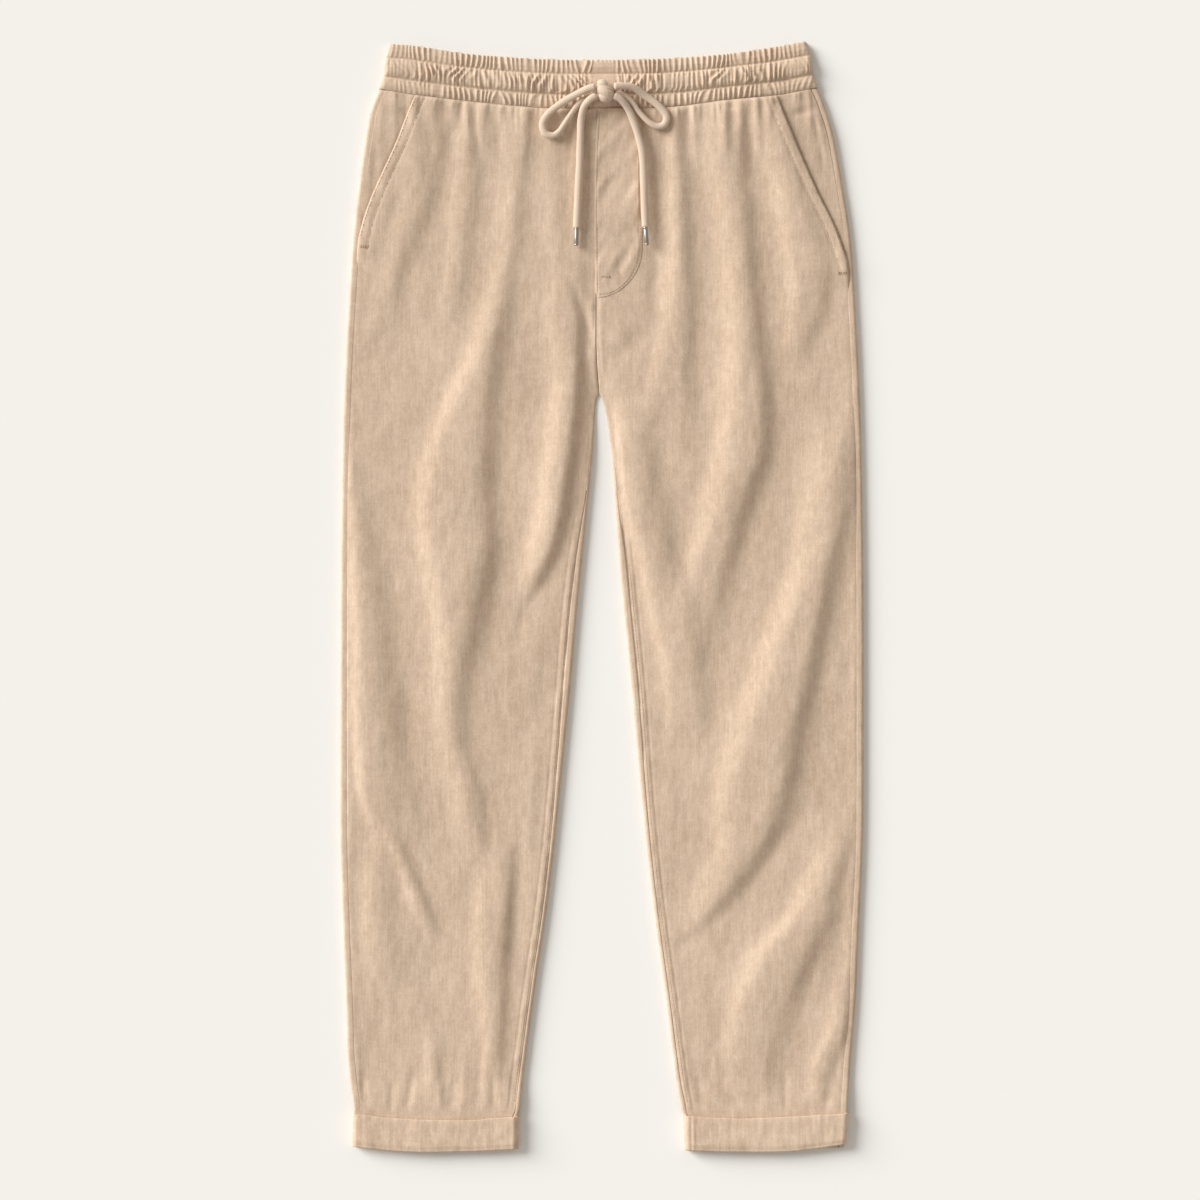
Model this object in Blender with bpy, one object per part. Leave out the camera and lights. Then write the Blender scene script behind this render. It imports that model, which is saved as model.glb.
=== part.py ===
"""Relaxed drawstring trousers with turned-up cuffs, laid flat on a surface.

The trousers lie face up with their back on the plane z = 0 and the waist towards +Y. Sizes are in
millimetres until the meshes are made, which are in metres. A place on the cloth is given by
across (along X, from the middle of the garment) and down (from the waist's highest point).
Left and right are the wearer's, so the right leg lies at -X.
"""

import math

import bpy
import bmesh
import numpy as np
from mathutils import Vector
from mathutils.geometry import interpolate_bezier

# Driving dimensions
METRE = 0.001
LENGTH = 1000.0
WALL = 1.2
GAP = 0.3
CUFF_WALL = 2.4
CORD_DIAMETER = 6.0
TIP_DIAMETER = 4.0
TIP_LENGTH = 15.0
BACK_BAND_THICKNESS = 4.3
FLY_THICKNESS = 1.0

# Heights of the cloth's outer face above the surface
EDGE_HEIGHT = 5.2
PANEL_HEIGHT = 5.0
WAIST_HEIGHT = 6.8
POCKET_RAISE = 2.0
HEM_HEIGHT = 4.6
EDGE_ROLL = 18.0

# Levels down the garment
SEAM_LOWEST = 60.3
CROTCH = 317.0
ROLL_START = 250.0
SEAM_STRAIGHT = 210.0
LIFT_START = 930.0
CUFF_TOP = 963.0
LEG_END = 996.0
SIDE_SEAM_INSET = 5.5
SEAM_CLEARANCE = 0.35
BACK_SEAM_CLEARANCE = 1.3

# Gathers
BAND_GATHERS = 60
COLUMNS_PER_GATHER = 3
PANEL_GATHER_PITCH = 18.0
PANEL_GATHER_HEIGHT = 1.0
PANEL_GATHER_END = 135.0
PLAIN_FRONT = (-12.0, 40.0)

# Colours
CLOTH_COLOUR = (0.61, 0.46, 0.33, 1.0)
SHADED_CLOTH_COLOUR = (0.52, 0.38, 0.27, 1.0)
CORD_COLOUR = (0.70, 0.54, 0.40, 1.0)
METAL_COLOUR = (0.72, 0.70, 0.67, 1.0)


def table(names, rows):
    """Columns of a table by name, each as an array."""
    columns = np.array(rows, dtype=float).T
    return dict(zip(names, columns))


# The silhouette's outer edges, as distances from the middle of the garment
OUTER_EDGES = table(
    ("down", "right", "left"),
    [
        (30, 196.5, 189.5),
        (42, 200.5, 194.5),
        (53, 205.0, 199.0),
        (64, 209.0, 202.5),
        (78, 211.5, 207.0),
        (107, 216.0, 213.0),
        (134, 219.5, 217.5),
        (161, 222.5, 222.0),
        (188, 225.0, 225.0),
        (242, 228.5, 228.5),
        (296, 231.5, 231.3),
        (340, 233.0, 233.0),
        (440, 234.8, 235.0),
        (600, 235.8, 235.8),
        (730, 235.6, 234.8),
        (800, 233.5, 231.5),
        (872, 230.5, 228.0),
        (908, 229.5, 225.0),
        (944, 226.0, 222.5),
        (957, 224.0, 221.5),
        (964, 221.6, 219.6),
        (1000, 222.0, 217.8),
    ],
)

# The legs' inner edges below the crotch
INNER_EDGES = table(
    ("down", "right", "left"),
    [
        (317, 2.9, -2.5),
        (323, 5.0, 0.6),
        (332, 6.2, 3.0),
        (350, 7.2, 6.0),
        (368, 8.3, 8.6),
        (404, 11.7, 11.4),
        (440, 15.3, 13.8),
        (512, 22.5, 19.8),
        (584, 28.8, 27.0),
        (656, 36.0, 33.5),
        (728, 43.4, 40.7),
        (800, 52.4, 49.2),
        (836, 58.0, 54.2),
        (872, 63.0, 59.0),
        (908, 67.6, 63.4),
        (944, 72.0, 68.4),
        (957, 73.0, 71.0),
        (964, 77.4, 75.6),
        (1000, 77.6, 77.4),
    ],
)

# The centre front seam
CENTRE_SEAM = table(
    ("down", "across"),
    [(40, -2.0), (106, -3.0), (233, -5.0), (290, -4.6), (317, -2.7)],
)

# How far the inseam lies from the leg's inner edge, along the cloth and over the top
INSEAM = table(
    ("down", "along"),
    [(317, 0.0), (350, 1.8), (400, 4.1), (467, 8.0), (560, 8.6), (700, 6.4), (860, 6.0), (1000, 6.6)],
)

# The slanted pocket mouths, as distances from the middle
POCKET_MOUTHS = table(
    ("down", "right", "left"),
    [
        (43, 164.5, 155.0),
        (50, 168.5, 158.0),
        (62, 174.0, 162.5),
        (91, 185.4, 174.5),
        (116, 197.0, 185.5),
        (138, 207.0, 195.5),
        (165, 216.4, 209.0),
        (191, 222.0, 218.7),
        (230, 230.0, 232.0),
    ],
)
POCKET_ENDS = {"right": 172.0, "left": 196.0}
FACING_TUCK = 12.0

# The waistband's lines across: its top edge, its two rows of stitching and its seam
BAND_LINES = table(
    ("across", "top", "upper_row", "lower_row", "seam"),
    [
        (-200, 2.4, 15.6, 30.2, 43.0),
        (-168, 4.4, 18.6, 35.4, 48.6),
        (-137, 9.4, 21.0, 39.8, 52.2),
        (-94, 13.8, 24.2, 45.2, 56.7),
        (-51, 16.2, 26.6, 48.0, 60.2),
        (0, 17.0, 27.9, 47.6, 60.3),
        (66, 15.2, 25.4, 44.6, 59.0),
        (109, 11.8, 21.4, 41.4, 53.3),
        (159, 4.8, 14.4, 34.6, 48.6),
        (200, -2.4, 7.0, 27.4, 40.4),
    ],
)
BAND_ENDS = table(
    ("down", "right", "left"),
    [(0, 189.6, 182.6), (6, 191.8, 185.4), (14, 194.4, 188.2), (24, 196.0, 189.4), (30, 196.5, 189.8),
     (36, 198.2, 192.2), (42, 200.4, 194.6), (50, 204.0, 198.0)],
)

# The waistband's sections from top to seam: share of the way between two lines, height, gather height
BAND_SECTIONS = (
    ("top", "upper_row", 0.0, 6.2, 0.35),
    ("top", "upper_row", 0.5, 7.6, 0.7),
    ("top", "upper_row", 1.0, 6.9, 0.2),
    ("upper_row", "lower_row", 0.3, 9.4, 0.9),
    ("upper_row", "lower_row", 0.7, 9.6, 0.9),
    ("upper_row", "lower_row", 1.0, 7.2, 0.2),
    ("lower_row", "seam", 0.5, 8.3, 0.6),
    ("lower_row", "seam", 1.0, 7.0, 0.15),
)

# The largest folds. Each is a ridge between two flanks, with the flanks' softness in brackets, and
# stations of down, left flank, right flank and height.
RIDGE_COLUMNS = ("down", "from_across", "to_across", "height")
RIDGES = {
    "thigh_right": ((11, 10), [
        (58, -83, -68, 0.6), (143, -87, -73, 1.8), (206, -95, -80, 2.4), (269, -112, -92, 2.8),
        (323, -137, -99, 3.2), (413, -164, -101, 3.6), (467, -159, -99, 3.8), (521, -150, -112, 3.4),
        (629, -144, -125, 2.8), (683, -132, -110, 2.2), (764, -110, -104, 0)]),
    "crotch_right": ((10, 6), [
        (107, -42, -16, 0), (197, -44, -18, 1.0), (260, -46, -19, 1.8), (305, -40, -20, 2.6),
        (350, -46, -23, 3.6), (395, -52, -29, 4.0), (440, -58, -37, 3.8), (467, -65, -46, 3.2),
        (507, -77, -67, 0)]),
    "pocket_right": ((9, 9), [
        (62, -168, -140, 0), (107, -172, -147, 1.2), (143, -177, -156, 1.5), (197, -193, -177, 1.3),
        (270, -210, -193, 0)]),
    "hip_right": ((7, 8), [
        (60, -127, -113, 0.4), (107, -130, -114, 1.4), (161, -134, -116, 1.2), (215, -141, -124, 0.8),
        (260, -148, -134, 0)]),
    "side_right": ((6, 12), [
        (340, -232, -226, 0), (413, -228, -216, 1.6), (467, -225, -207, 2.2), (521, -224, -195, 2.6),
        (575, -223, -191, 2.8), (629, -222, -184, 2.8), (674, -218, -173, 2.2), (710, -208, -160, 1.2),
        (750, -200, -150, 0)]),
    "knee_right": ((5, 5), [
        (705, -200, -191, 0), (733, -187, -176, 1.4), (760, -178, -165, 1.5), (787, -166, -154, 1.2),
        (815, -155, -145, 0)]),
    "shin_right": ((7, 9), [
        (720, -212, -192, 0), (755, -213, -190, 1.4), (791, -212, -189, 1.4), (850, -208, -185, 0.8),
        (905, -205, -187, 0)]),
    "calf_right": ((9, 6), [
        (715, -106, -80, 0), (760, -109, -82, 1.8), (800, -113, -85, 2.2), (863, -110, -88, 2.0),
        (917, -105, -90, 1.4), (955, -103, -90, 0.3)]),
    "ankle_right": ((5, 5), [(880, -160, -146, 0), (917, -158, -146, 1.0), (955, -157, -147, 0.8)]),
    "fly_side_left": ((7, 8), [
        (60, 56, 77, 0.6), (107, 60, 75, 2.0), (161, 62, 77, 2.4), (215, 62, 79, 2.2),
        (260, 56, 80, 1.8), (305, 44, 79, 1.2), (350, 36, 78, 0)]),
    "inner_left": ((7, 12), [
        (320, 8, 40, 0), (350, 12, 42, 1.8), (413, 21, 52, 2.8), (467, 34, 66, 2.8), (512, 43, 79, 2.6),
        (557, 54, 88, 2.2), (602, 59, 93, 1.6), (640, 64, 90, 0)]),
    "thigh_left": ((11, 9), [
        (60, 88, 129, 0.6), (107, 97, 129, 2.2), (161, 108, 133, 2.8), (215, 112, 138, 3.2),
        (269, 115, 143, 3.6), (323, 112, 148, 3.8), (368, 108, 148, 3.8), (404, 99, 136, 3.4),
        (440, 91, 124, 3.0), (467, 79, 116, 2.4), (530, 66, 98, 1.2), (575, 60, 90, 0)]),
    "hip_left": ((8, 10), [
        (60, 149, 169, 0.5), (107, 152, 172, 1.2), (161, 160, 190, 1.8), (206, 169, 202, 2.2),
        (260, 168, 192, 1.6), (300, 165, 175, 0)]),
    "side_left": ((13, 10), [
        (323, 205, 226, 0), (377, 192, 224, 2.0), (431, 183, 219, 3.0), (467, 178, 210, 3.6),
        (503, 165, 203, 4.0), (539, 151, 196, 4.2), (575, 138, 189, 4.2), (611, 124, 180, 4.0),
        (665, 109, 170, 3.6), (719, 108, 154, 3.0), (760, 99, 129, 2.2), (789, 85, 104, 1.2),
        (814, 74, 84, 0)]),
    "shin_left": ((10, 10), [
        (683, 214, 222, 0), (719, 201, 219, 1.4), (755, 187, 215, 2.2), (787, 169, 207, 2.6),
        (818, 142, 195, 2.8), (850, 124, 178, 2.6), (881, 117, 165, 2.2), (917, 115, 158, 1.6),
        (950, 118, 150, 0.5)]),
    "ankle_left": ((6, 6), [
        (836, 214, 224, 0), (872, 208, 222, 1.2), (895, 203, 219, 1.6), (917, 192, 210, 1.4),
        (955, 190, 206, 0.6)]),
}
RIDGES = {name: (softness, table(RIDGE_COLUMNS, rows)) for name, (softness, rows) in RIDGES.items()}

# The fly: a straight edge at the centre front and a J-shaped stitched edge
FLY_EDGE = table(("down", "across"), [(61, -3.8), (80, -5.2), (106, -6.3), (229, -6.3)])
FLY_WIDTH_AT = 35.0
FLY_BEND_START = 185.0
FLY_BOTTOM = 229.0
FLY_BEND_END = math.radians(80)
FLY_CLEARANCE = 0.45

# The drawstring's routes from the knot: across, down, and the lift above where it would lie
CORD_ROUTES = {
    "drawstring_loop_right": [
        (-5.6, 43.0, 6.6), (-14.0, 45.2, 5.4), (-27.0, 51.4, 3.0), (-40.0, 59.4, 1.0), (-49.0, 67.0, 0.2),
        (-53.4, 75.4, 0.0), (-51.0, 83.4, 0.0), (-44.0, 85.6, 0.0), (-38.4, 82.0, 0.0),
        (-33.8, 75.4, 0.0), (-28.0, 66.6, 0.0), (-20.6, 56.6, 0.0), (-13.0, 51.0, 0.0), (-6.6, 48.8, 0.0)],
    "drawstring_loop_left": [
        (10.6, 42.8, 6.6), (18.0, 42.2, 5.4), (27.6, 43.2, 3.0), (38.8, 50.4, 1.0), (50.2, 58.6, 0.2),
        (57.6, 67.6, 0.0), (56.4, 75.2, 0.0), (50.0, 77.4, 0.0), (42.0, 73.4, 0.0), (33.0, 64.2, 0.0),
        (27.4, 56.2, 0.0), (20.6, 49.8, 0.0), (12.0, 47.4, 0.0)],
    "drawstring_tail_right": [
        (-4.6, 50.8, 7.0), (-10.6, 54.2, 6.8), (-16.2, 60.6, 3.6), (-18.8, 71.6, 0.6), (-19.4, 86.0, 0.0),
        (-20.0, 109.0, 0.0), (-21.2, 132.0, 0.0), (-22.3, 155.0, 0.0), (-22.9, 169.2, 0.0)],
    "drawstring_tail_left": [
        (10.4, 50.6, 7.0), (17.6, 54.9, 5.6), (25.0, 65.2, 2.0), (31.5, 82.4, 0.2), (36.0, 100.0, 0.0),
        (37.4, 120.4, 0.0), (38.0, 143.4, 0.0), (39.1, 168.7, 0.0)],
}
CORD_STEP = 14.0
CORD_CLEARANCE = 0.8
TIP_DIRECTIONS = {"right": (-0.02, 1.0), "left": (0.08, 1.0)}

# The knot's sections from top to bottom: down, middle, half width, height
KNOT_SECTIONS = (
    (36.2, 0.0, 2.6, 4.5),
    (37.4, 0.2, 4.4, 7.5),
    (40.5, 0.6, 5.2, 10.0),
    (44.0, 1.6, 5.8, 11.5),
    (48.0, 2.6, 6.4, 12.5),
    (52.5, 3.0, 5.8, 11.5),
    (55.6, 3.0, 3.8, 8.0),
    (56.8, 3.0, 2.2, 4.5),
)
KNOT_BASE = 11.2

# Rows down the legs, and how far the columns near a panel's ends lie from those ends
GATHERED_ROWS = (60.5, 66.0, 76.0, 90.0)
BODY_ROWS = (112, 136, 160, 184, 210, 236, 260, 282, 300, 311, 317, 322, 331, 345, 375, 412, 450, 495, 540,
             585, 630, 675, 720, 765, 810, 855, 900, 930, 955, 963.5, LEG_END)
FRONT_COLUMNS_AT_SIDE = (0.0, 5.0)
FRONT_COLUMNS_AT_INSEAM = (10.0, 5.5, 3.2, 1.6, 0.0)
FRONT_BODY_COLUMNS = 13
FRONT_GATHER_COLUMNS = 48
DENSE_SAMPLES = 500
BACK_FLAT_COLUMNS = 3
FLAT_END = -70.0


def ease(share):
    """A smooth step from 0 to 1."""
    share = np.clip(share, 0.0, 1.0)
    return share * share * (3.0 - 2.0 * share)


def smooth_value(stations, values, at):
    """Cubic through the stations, with each slope taken from the neighbouring stations."""
    at = np.clip(at, stations[0], stations[-1])
    slopes = np.gradient(values, stations)
    index = np.clip(np.searchsorted(stations, at, side="right") - 1, 0, len(stations) - 2)
    step = stations[index + 1] - stations[index]
    t = (at - stations[index]) / step
    start = (1.0 + 2.0 * t) * (1.0 - t) ** 2 * values[index] + t * (1.0 - t) ** 2 * step * slopes[index]
    end = t * t * (3.0 - 2.0 * t) * values[index + 1] + t * t * (t - 1.0) * step * slopes[index + 1]
    return start + end


def track(source, column, at):
    """One column of a table, read smoothly at a place along its first column."""
    keys = list(source)
    return smooth_value(source[keys[0]], source[column], np.asarray(at, dtype=float))


def sign_of(side):
    """The side's direction along X."""
    return -1.0 if side == "right" else 1.0


# The cloth's height

def seam_shift(across):
    """How much higher the waist seam lies than at the centre front."""
    return track(BAND_LINES, "seam", across) - SEAM_LOWEST


def follow_seam(level, across):
    """The level down of a row that follows the waist seam and straightens lower down."""
    fade = 1.0 - ease((level - SEAM_LOWEST) / (SEAM_STRAIGHT - SEAM_LOWEST))
    return level + seam_shift(across) * fade


def ridge_height(across, down):
    """The sum of the folds, each rising at one flank and falling at the other."""
    total = np.zeros(np.broadcast(across, down).shape)
    for softness, stations in RIDGES.values():
        inside = (down > stations["down"][0]) & (down < stations["down"][-1])
        height = np.maximum(track(stations, "height", down), 0.0)
        rise = np.tanh(1.6 * (across - track(stations, "from_across", down)) / softness[0])
        fall = np.tanh(1.6 * (across - track(stations, "to_across", down)) / softness[1])
        total = total + np.where(inside, 0.5 * height * (rise - fall), 0.0)
    return total * (1.0 - ease((down - 940.0) / 20.0))


def crotch_roll(down):
    """From 0 where the fronts lie flat to 1 at the crotch, where they roll under."""
    return ease((down - ROLL_START) / (CROTCH - ROLL_START))


def leg_edges(side, down):
    """The outward distances of a leg's inner and outer edges."""
    outer = track(OUTER_EDGES, side, down)
    below = track(INNER_EDGES, side, down)
    middle = sign_of(side) * track(CENTRE_SEAM, "across", down) + 0.5 * GAP
    roll = crotch_roll(down)
    radius = 0.5 * EDGE_HEIGHT
    above = middle + radius * (np.cos(0.5 * math.pi * (1.0 - roll)) - 1.0)
    return np.where(down < CROTCH, above, below), outer


def base_height(side, across, down):
    """The cloth's height without folds: low at rolled edges, a little higher at the waist."""
    inner, outer = leg_edges(side, down)
    outward = sign_of(side) * across
    waist = 1.0 - ease((down - 70.0) / 60.0)
    middle = PANEL_HEIGHT + (WAIST_HEIGHT - PANEL_HEIGHT) * waist
    edge = EDGE_HEIGHT + 0.6 * waist
    at_side = 1.0 - ease((outer - outward) / EDGE_ROLL)
    at_inseam = (1.0 - ease((outward - inner) / EDGE_ROLL)) * np.where(down < CROTCH, crotch_roll(down), 1.0)
    height = middle + (edge - middle) * np.maximum(at_side, at_inseam)
    hem = ease((down - LIFT_START) / (CUFF_TOP - LIFT_START))
    return height + (HEM_HEIGHT - height) * hem


def hem_lift(down):
    """How far the leg's end is raised to lie on the cuff's lower layer."""
    return (CUFF_WALL + GAP + 0.15) * ease((down - LIFT_START) / (CUFF_TOP - LIFT_START))


def fold_height(side, across, down):
    """The folds and the soft gathers below the waist seam, fading out at the edges."""
    inner, outer = leg_edges(side, down)
    outward = sign_of(side) * across
    clear = ease((outer - outward) / 12.0) * np.where(down < CROTCH, 1.0, ease((outward - inner) / 10.0))
    return ridge_height(across, down) * clear


def gather_height(across, down):
    """Soft gathers below the waist seam, none at the fly."""
    phase = across / PANEL_GATHER_PITCH + 0.35 * np.sin(across / 31.0) + 0.2 * np.sin(across / 13.0 + 1.0)
    seam = track(BAND_LINES, "seam", across)
    fade = 1.0 - ease((down - seam) / (PANEL_GATHER_END - SEAM_LOWEST))
    plain = ease((PLAIN_FRONT[0] - across) / 12.0) + ease((across - PLAIN_FRONT[1]) / 12.0)
    return PANEL_GATHER_HEIGHT * (0.5 + 0.5 * np.cos(2.0 * math.pi * phase)) * fade * plain


def pocket_raise(side, across, down):
    """How far the front is raised to lie on the pocket's facing."""
    outward = sign_of(side) * across
    mouth = track(POCKET_MOUTHS, side, down)
    near_mouth = 1.0 - ease((mouth - FACING_TUCK - 3.0 - outward) / 35.0)
    fade = 1.0 - ease((down - POCKET_ENDS[side] - 4.0) / 30.0)
    return POCKET_RAISE * near_mouth * fade


def front_height(side, across, down, gathers=True):
    """The height of a front's outer face above the leg's own back."""
    height = base_height(side, across, down) + fold_height(side, across, down)
    height = height + pocket_raise(side, across, down)
    if gathers:
        height = height + gather_height(across, down)
    return height


# Sections across a leg

def arc(edge, direction, height, start, end, count):
    """A rounded edge: points from one angle to another, where 90 degrees is the top."""
    angles = np.radians(np.linspace(start, end, count))
    radius = 0.5 * height
    outward = edge - direction * radius * (1.0 - np.cos(angles))
    return outward, radius * (1.0 + np.sin(angles))


def front_start(side, level):
    """Where the front's outer edge lies: at the pocket mouth, or below it at the side seam."""
    down = level
    for _ in range(3):
        mouth = track(POCKET_MOUTHS, side, down)
        seam = track(OUTER_EDGES, side, down) - SIDE_SEAM_INSET
        outward = min(float(mouth), float(seam))
        down = float(follow_seam(level, sign_of(side) * outward))
    return outward


def inner_end(down):
    """The angle of a front's end on the rolled edge, and how far it stops short on top."""
    if down < CROTCH:
        return 90.0 * (1.0 - float(crotch_roll(down))), 0.0
    along = float(track(INSEAM, "along", down))
    quarter = 0.25 * math.pi * EDGE_HEIGHT
    return 90.0 * min(along / quarter, 1.0), max(along - quarter, 0.0)


def front_section(side, level, gathers):
    """A dense line across the front's outer face, from its outer edge to its inner end."""
    sign = sign_of(side)
    start = front_start(side, level)
    inner = float(leg_edges(side, level)[0])
    angle, short = inner_end(level)
    end_height = float(base_height(side, sign * (inner + 0.5 * EDGE_HEIGHT), level))
    edge_gap = math.degrees(SEAM_CLEARANCE / (0.5 * end_height - WALL))
    top_end = inner + 0.5 * end_height + (short + SEAM_CLEARANCE if angle >= 90.0 else 0.0)
    outward = np.linspace(start, top_end, DENSE_SAMPLES)
    down = follow_seam(level, sign * outward)
    height = front_height(side, sign * outward, down, gathers)
    if 0.0 <= angle < 90.0 - edge_gap:
        rolled, rolled_height = arc(inner, -1.0, end_height, 90.0, angle + edge_gap, 40)
        outward = np.append(outward, rolled[1:])
        height = np.append(height, rolled_height[1:])
        down = np.append(down, np.full(len(rolled) - 1, down[-1]))
    return np.stack([sign * outward, down, height + hem_lift(down)], axis=1)


def pick_along(line, distances):
    """Points on a dense line at the given distances along it."""
    steps = np.linalg.norm(np.diff(line, axis=0), axis=1)
    along = np.append(0.0, np.cumsum(steps))
    return np.stack([np.interp(distances, along, line[:, k]) for k in range(3)], axis=1)


def line_length(line):
    return float(np.linalg.norm(np.diff(line, axis=0), axis=1).sum())


def front_row(side, level, gathers, count):
    """The front's points at one level: close together at its ends, evenly spread between them."""
    line = front_section(side, level, gathers)
    length = line_length(line)
    if count:
        return pick_along(line, np.linspace(0.0, length, count))
    from_side = np.array(FRONT_COLUMNS_AT_SIDE)
    from_end = length - np.array(FRONT_COLUMNS_AT_INSEAM)
    middle = np.linspace(from_side[-1], from_end[0], FRONT_BODY_COLUMNS + 2)[1:-1]
    return pick_along(line, np.concatenate([from_side, middle, from_end]))


def back_end(inner, height, level):
    """The back's last six points: flat to the centre seam, or rolled up the leg's inner edge."""
    radius = 0.5 * height
    angle, short = inner_end(level)
    edge_gap = math.degrees(SEAM_CLEARANCE / (radius - WALL))
    end = (-angle if level < CROTCH else angle) - edge_gap
    if end < FLAT_END:
        seam = inner + radius
        return np.linspace(seam + 8.0, seam, 6), np.zeros(6)
    if short == 0.0:
        return arc(inner, -1.0, height, -90.0, end, 6)
    outward, level_up = arc(inner, -1.0, height, -90.0, 90.0, 5)
    return np.append(outward, inner + radius + max(short - SEAM_CLEARANCE, 0.1)), np.append(level_up, height)


def back_section(side, level):
    """The back's outer face: from the side seam on top, round the side, along the surface and up."""
    sign = sign_of(side)
    inner, outer = (float(value) for value in leg_edges(side, level))
    down_at_side = float(follow_seam(level, sign * outer))
    outer = float(track(OUTER_EDGES, side, down_at_side))
    side_height = float(base_height(side, sign * outer, down_at_side))
    inner_height = float(base_height(side, sign * inner, level))
    seam = outer - SIDE_SEAM_INSET + GAP
    outer_arc, outer_arc_height = arc(outer, 1.0, side_height, 90.0, -90.0, 5)
    outward = [seam, *outer_arc]
    height = [side_height, *outer_arc_height]
    flat = np.linspace(outer_arc[-1], inner + 0.5 * inner_height + 8.0, BACK_FLAT_COLUMNS + 2)[1:-1]
    outward.extend(flat)
    height.extend(np.zeros(BACK_FLAT_COLUMNS))
    end_outward, end_height = back_end(inner, inner_height, level)
    outward.extend(end_outward)
    height.extend(end_height)
    outward = np.array(outward)
    height = np.array(height)
    down = follow_seam(level, sign * outward)
    return np.stack([sign * outward, down, height + hem_lift(down)], axis=1)


# Meshes

def offset_inward(points, distance, toward):
    """The grid moved along its own normals, to the side where the given direction points."""
    along_rows = np.gradient(points, axis=0)
    along_columns = np.gradient(points, axis=1)
    normals = np.cross(along_columns, along_rows)
    normals /= np.linalg.norm(normals, axis=2, keepdims=True)
    normals[..., 1] *= 0.0
    normals /= np.linalg.norm(normals, axis=2, keepdims=True)
    return points + toward * distance * normals


def to_world(points):
    """Across, down and height to metres along X, Y and Z."""
    points = np.asarray(points, dtype=float)
    return np.stack([points[..., 0], 0.5 * LENGTH - points[..., 1], points[..., 2]], axis=-1) * METRE


def add_material(thing, colour, roughness, metallic=0.0):
    """A plain surface of one colour."""
    material = bpy.data.materials.new(thing.name + "_surface")
    material.use_nodes = True
    surface = material.node_tree.nodes["Principled BSDF"]
    surface.inputs["Base Color"].default_value = colour
    surface.inputs["Roughness"].default_value = roughness
    surface.inputs["Metallic"].default_value = metallic
    thing.data.materials.append(material)


def add_solid(name, points, faces, colour, roughness=0.9, metallic=0.0):
    """One closed body from points in millimetres and faces, with its faces turned outward."""
    mesh = bpy.data.meshes.new(name)
    mesh.from_pydata(to_world(points).tolist(), [], faces)
    body = bmesh.new()
    body.from_mesh(mesh)
    bmesh.ops.recalc_face_normals(body, faces=body.faces)
    bmesh.ops.triangulate(body, faces=body.faces)
    if body.calc_volume(signed=True) < 0.0:
        bmesh.ops.reverse_faces(body, faces=body.faces)
    body.to_mesh(mesh)
    body.free()
    thing = bpy.data.objects.new(name, mesh)
    bpy.context.collection.objects.link(thing)
    add_material(thing, colour, roughness, metallic)
    return thing


def zip_rows(first, first_share, second, second_share):
    """Triangles between two rows of points that have different counts."""
    faces = []
    i = 0
    j = 0
    while i < len(first) - 1 or j < len(second) - 1:
        step_first = j == len(second) - 1
        if not step_first and i < len(first) - 1:
            step_first = first_share[i + 1] <= second_share[j + 1]
        if step_first:
            faces.append((first[i], first[i + 1], second[j]))
            i += 1
        else:
            faces.append((first[i], second[j + 1], second[j]))
            j += 1
    return faces


class SheetSolid:
    """A wall made of rows of points: an outer face, an inner face and the rim between them."""

    def __init__(self):
        self.points = []
        self.faces = []

    def add_rows(self, rows):
        """Adds rows of points and returns their numbers."""
        numbers = []
        for row in rows:
            numbers.append(list(range(len(self.points), len(self.points) + len(row))))
            self.points.extend(np.asarray(row).tolist())
        return numbers

    def join(self, first, second):
        """A strip between two rows."""
        if len(first) == len(second):
            for k in range(len(first) - 1):
                self.faces.append((first[k], first[k + 1], second[k + 1], second[k]))
            return
        share_first = self.row_share(first)
        share_second = self.row_share(second)
        self.faces.extend(zip_rows(first, share_first, second, share_second))

    def row_share(self, row):
        """How far along its row each point lies, as a share of the row's width."""
        across = np.array([self.points[k][0] for k in row])
        height = np.array([self.points[k][2] for k in row])
        along = np.append(0.0, np.cumsum(np.hypot(np.diff(across), 0.3 * np.diff(height))))
        return along / along[-1]


def add_sheet(name, outer, inner, colour, **finish):
    """A wall between two sets of rows, whose numbers of rows may differ at the sides."""
    sheet = SheetSolid()
    outer_rows = sheet.add_rows(outer)
    inner_rows = sheet.add_rows(inner)
    for rows in (outer_rows, inner_rows):
        for first, second in zip(rows[:-1], rows[1:]):
            sheet.join(first, second)
    sheet.join(outer_rows[0], inner_rows[0])
    sheet.join(outer_rows[-1], inner_rows[-1])
    for end in (0, -1):
        outer_side = [row[end] for row in outer_rows]
        inner_side = [row[end] for row in inner_rows]
        if len(outer_side) == len(inner_side):
            sheet.join(outer_side, inner_side)
        else:
            outer_share = [sheet.points[k][1] for k in outer_side]
            inner_share = [sheet.points[k][1] for k in inner_side]
            sheet.faces.extend(zip_rows(outer_side, outer_share, inner_side, inner_share))
    return add_solid(name, sheet.points, sheet.faces, colour, **finish)


# Panels

def build_front(side):
    """A front leg: gathered below the waist seam, cut away at the pocket mouth."""
    gathered = [front_row(side, level, True, FRONT_GATHER_COLUMNS) for level in GATHERED_ROWS]
    body = [front_row(side, float(level), True, 0) for level in BODY_ROWS]
    plain_levels = (GATHERED_ROWS[0], GATHERED_ROWS[-1], *BODY_ROWS)
    plain = np.array([front_row(side, float(level), False, 0) for level in plain_levels])
    toward = 1.0 if side == "left" else -1.0
    inner = offset_inward(plain, WALL, toward)
    return add_sheet("front_leg_" + side, gathered + body, list(inner), CLOTH_COLOUR)


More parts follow.
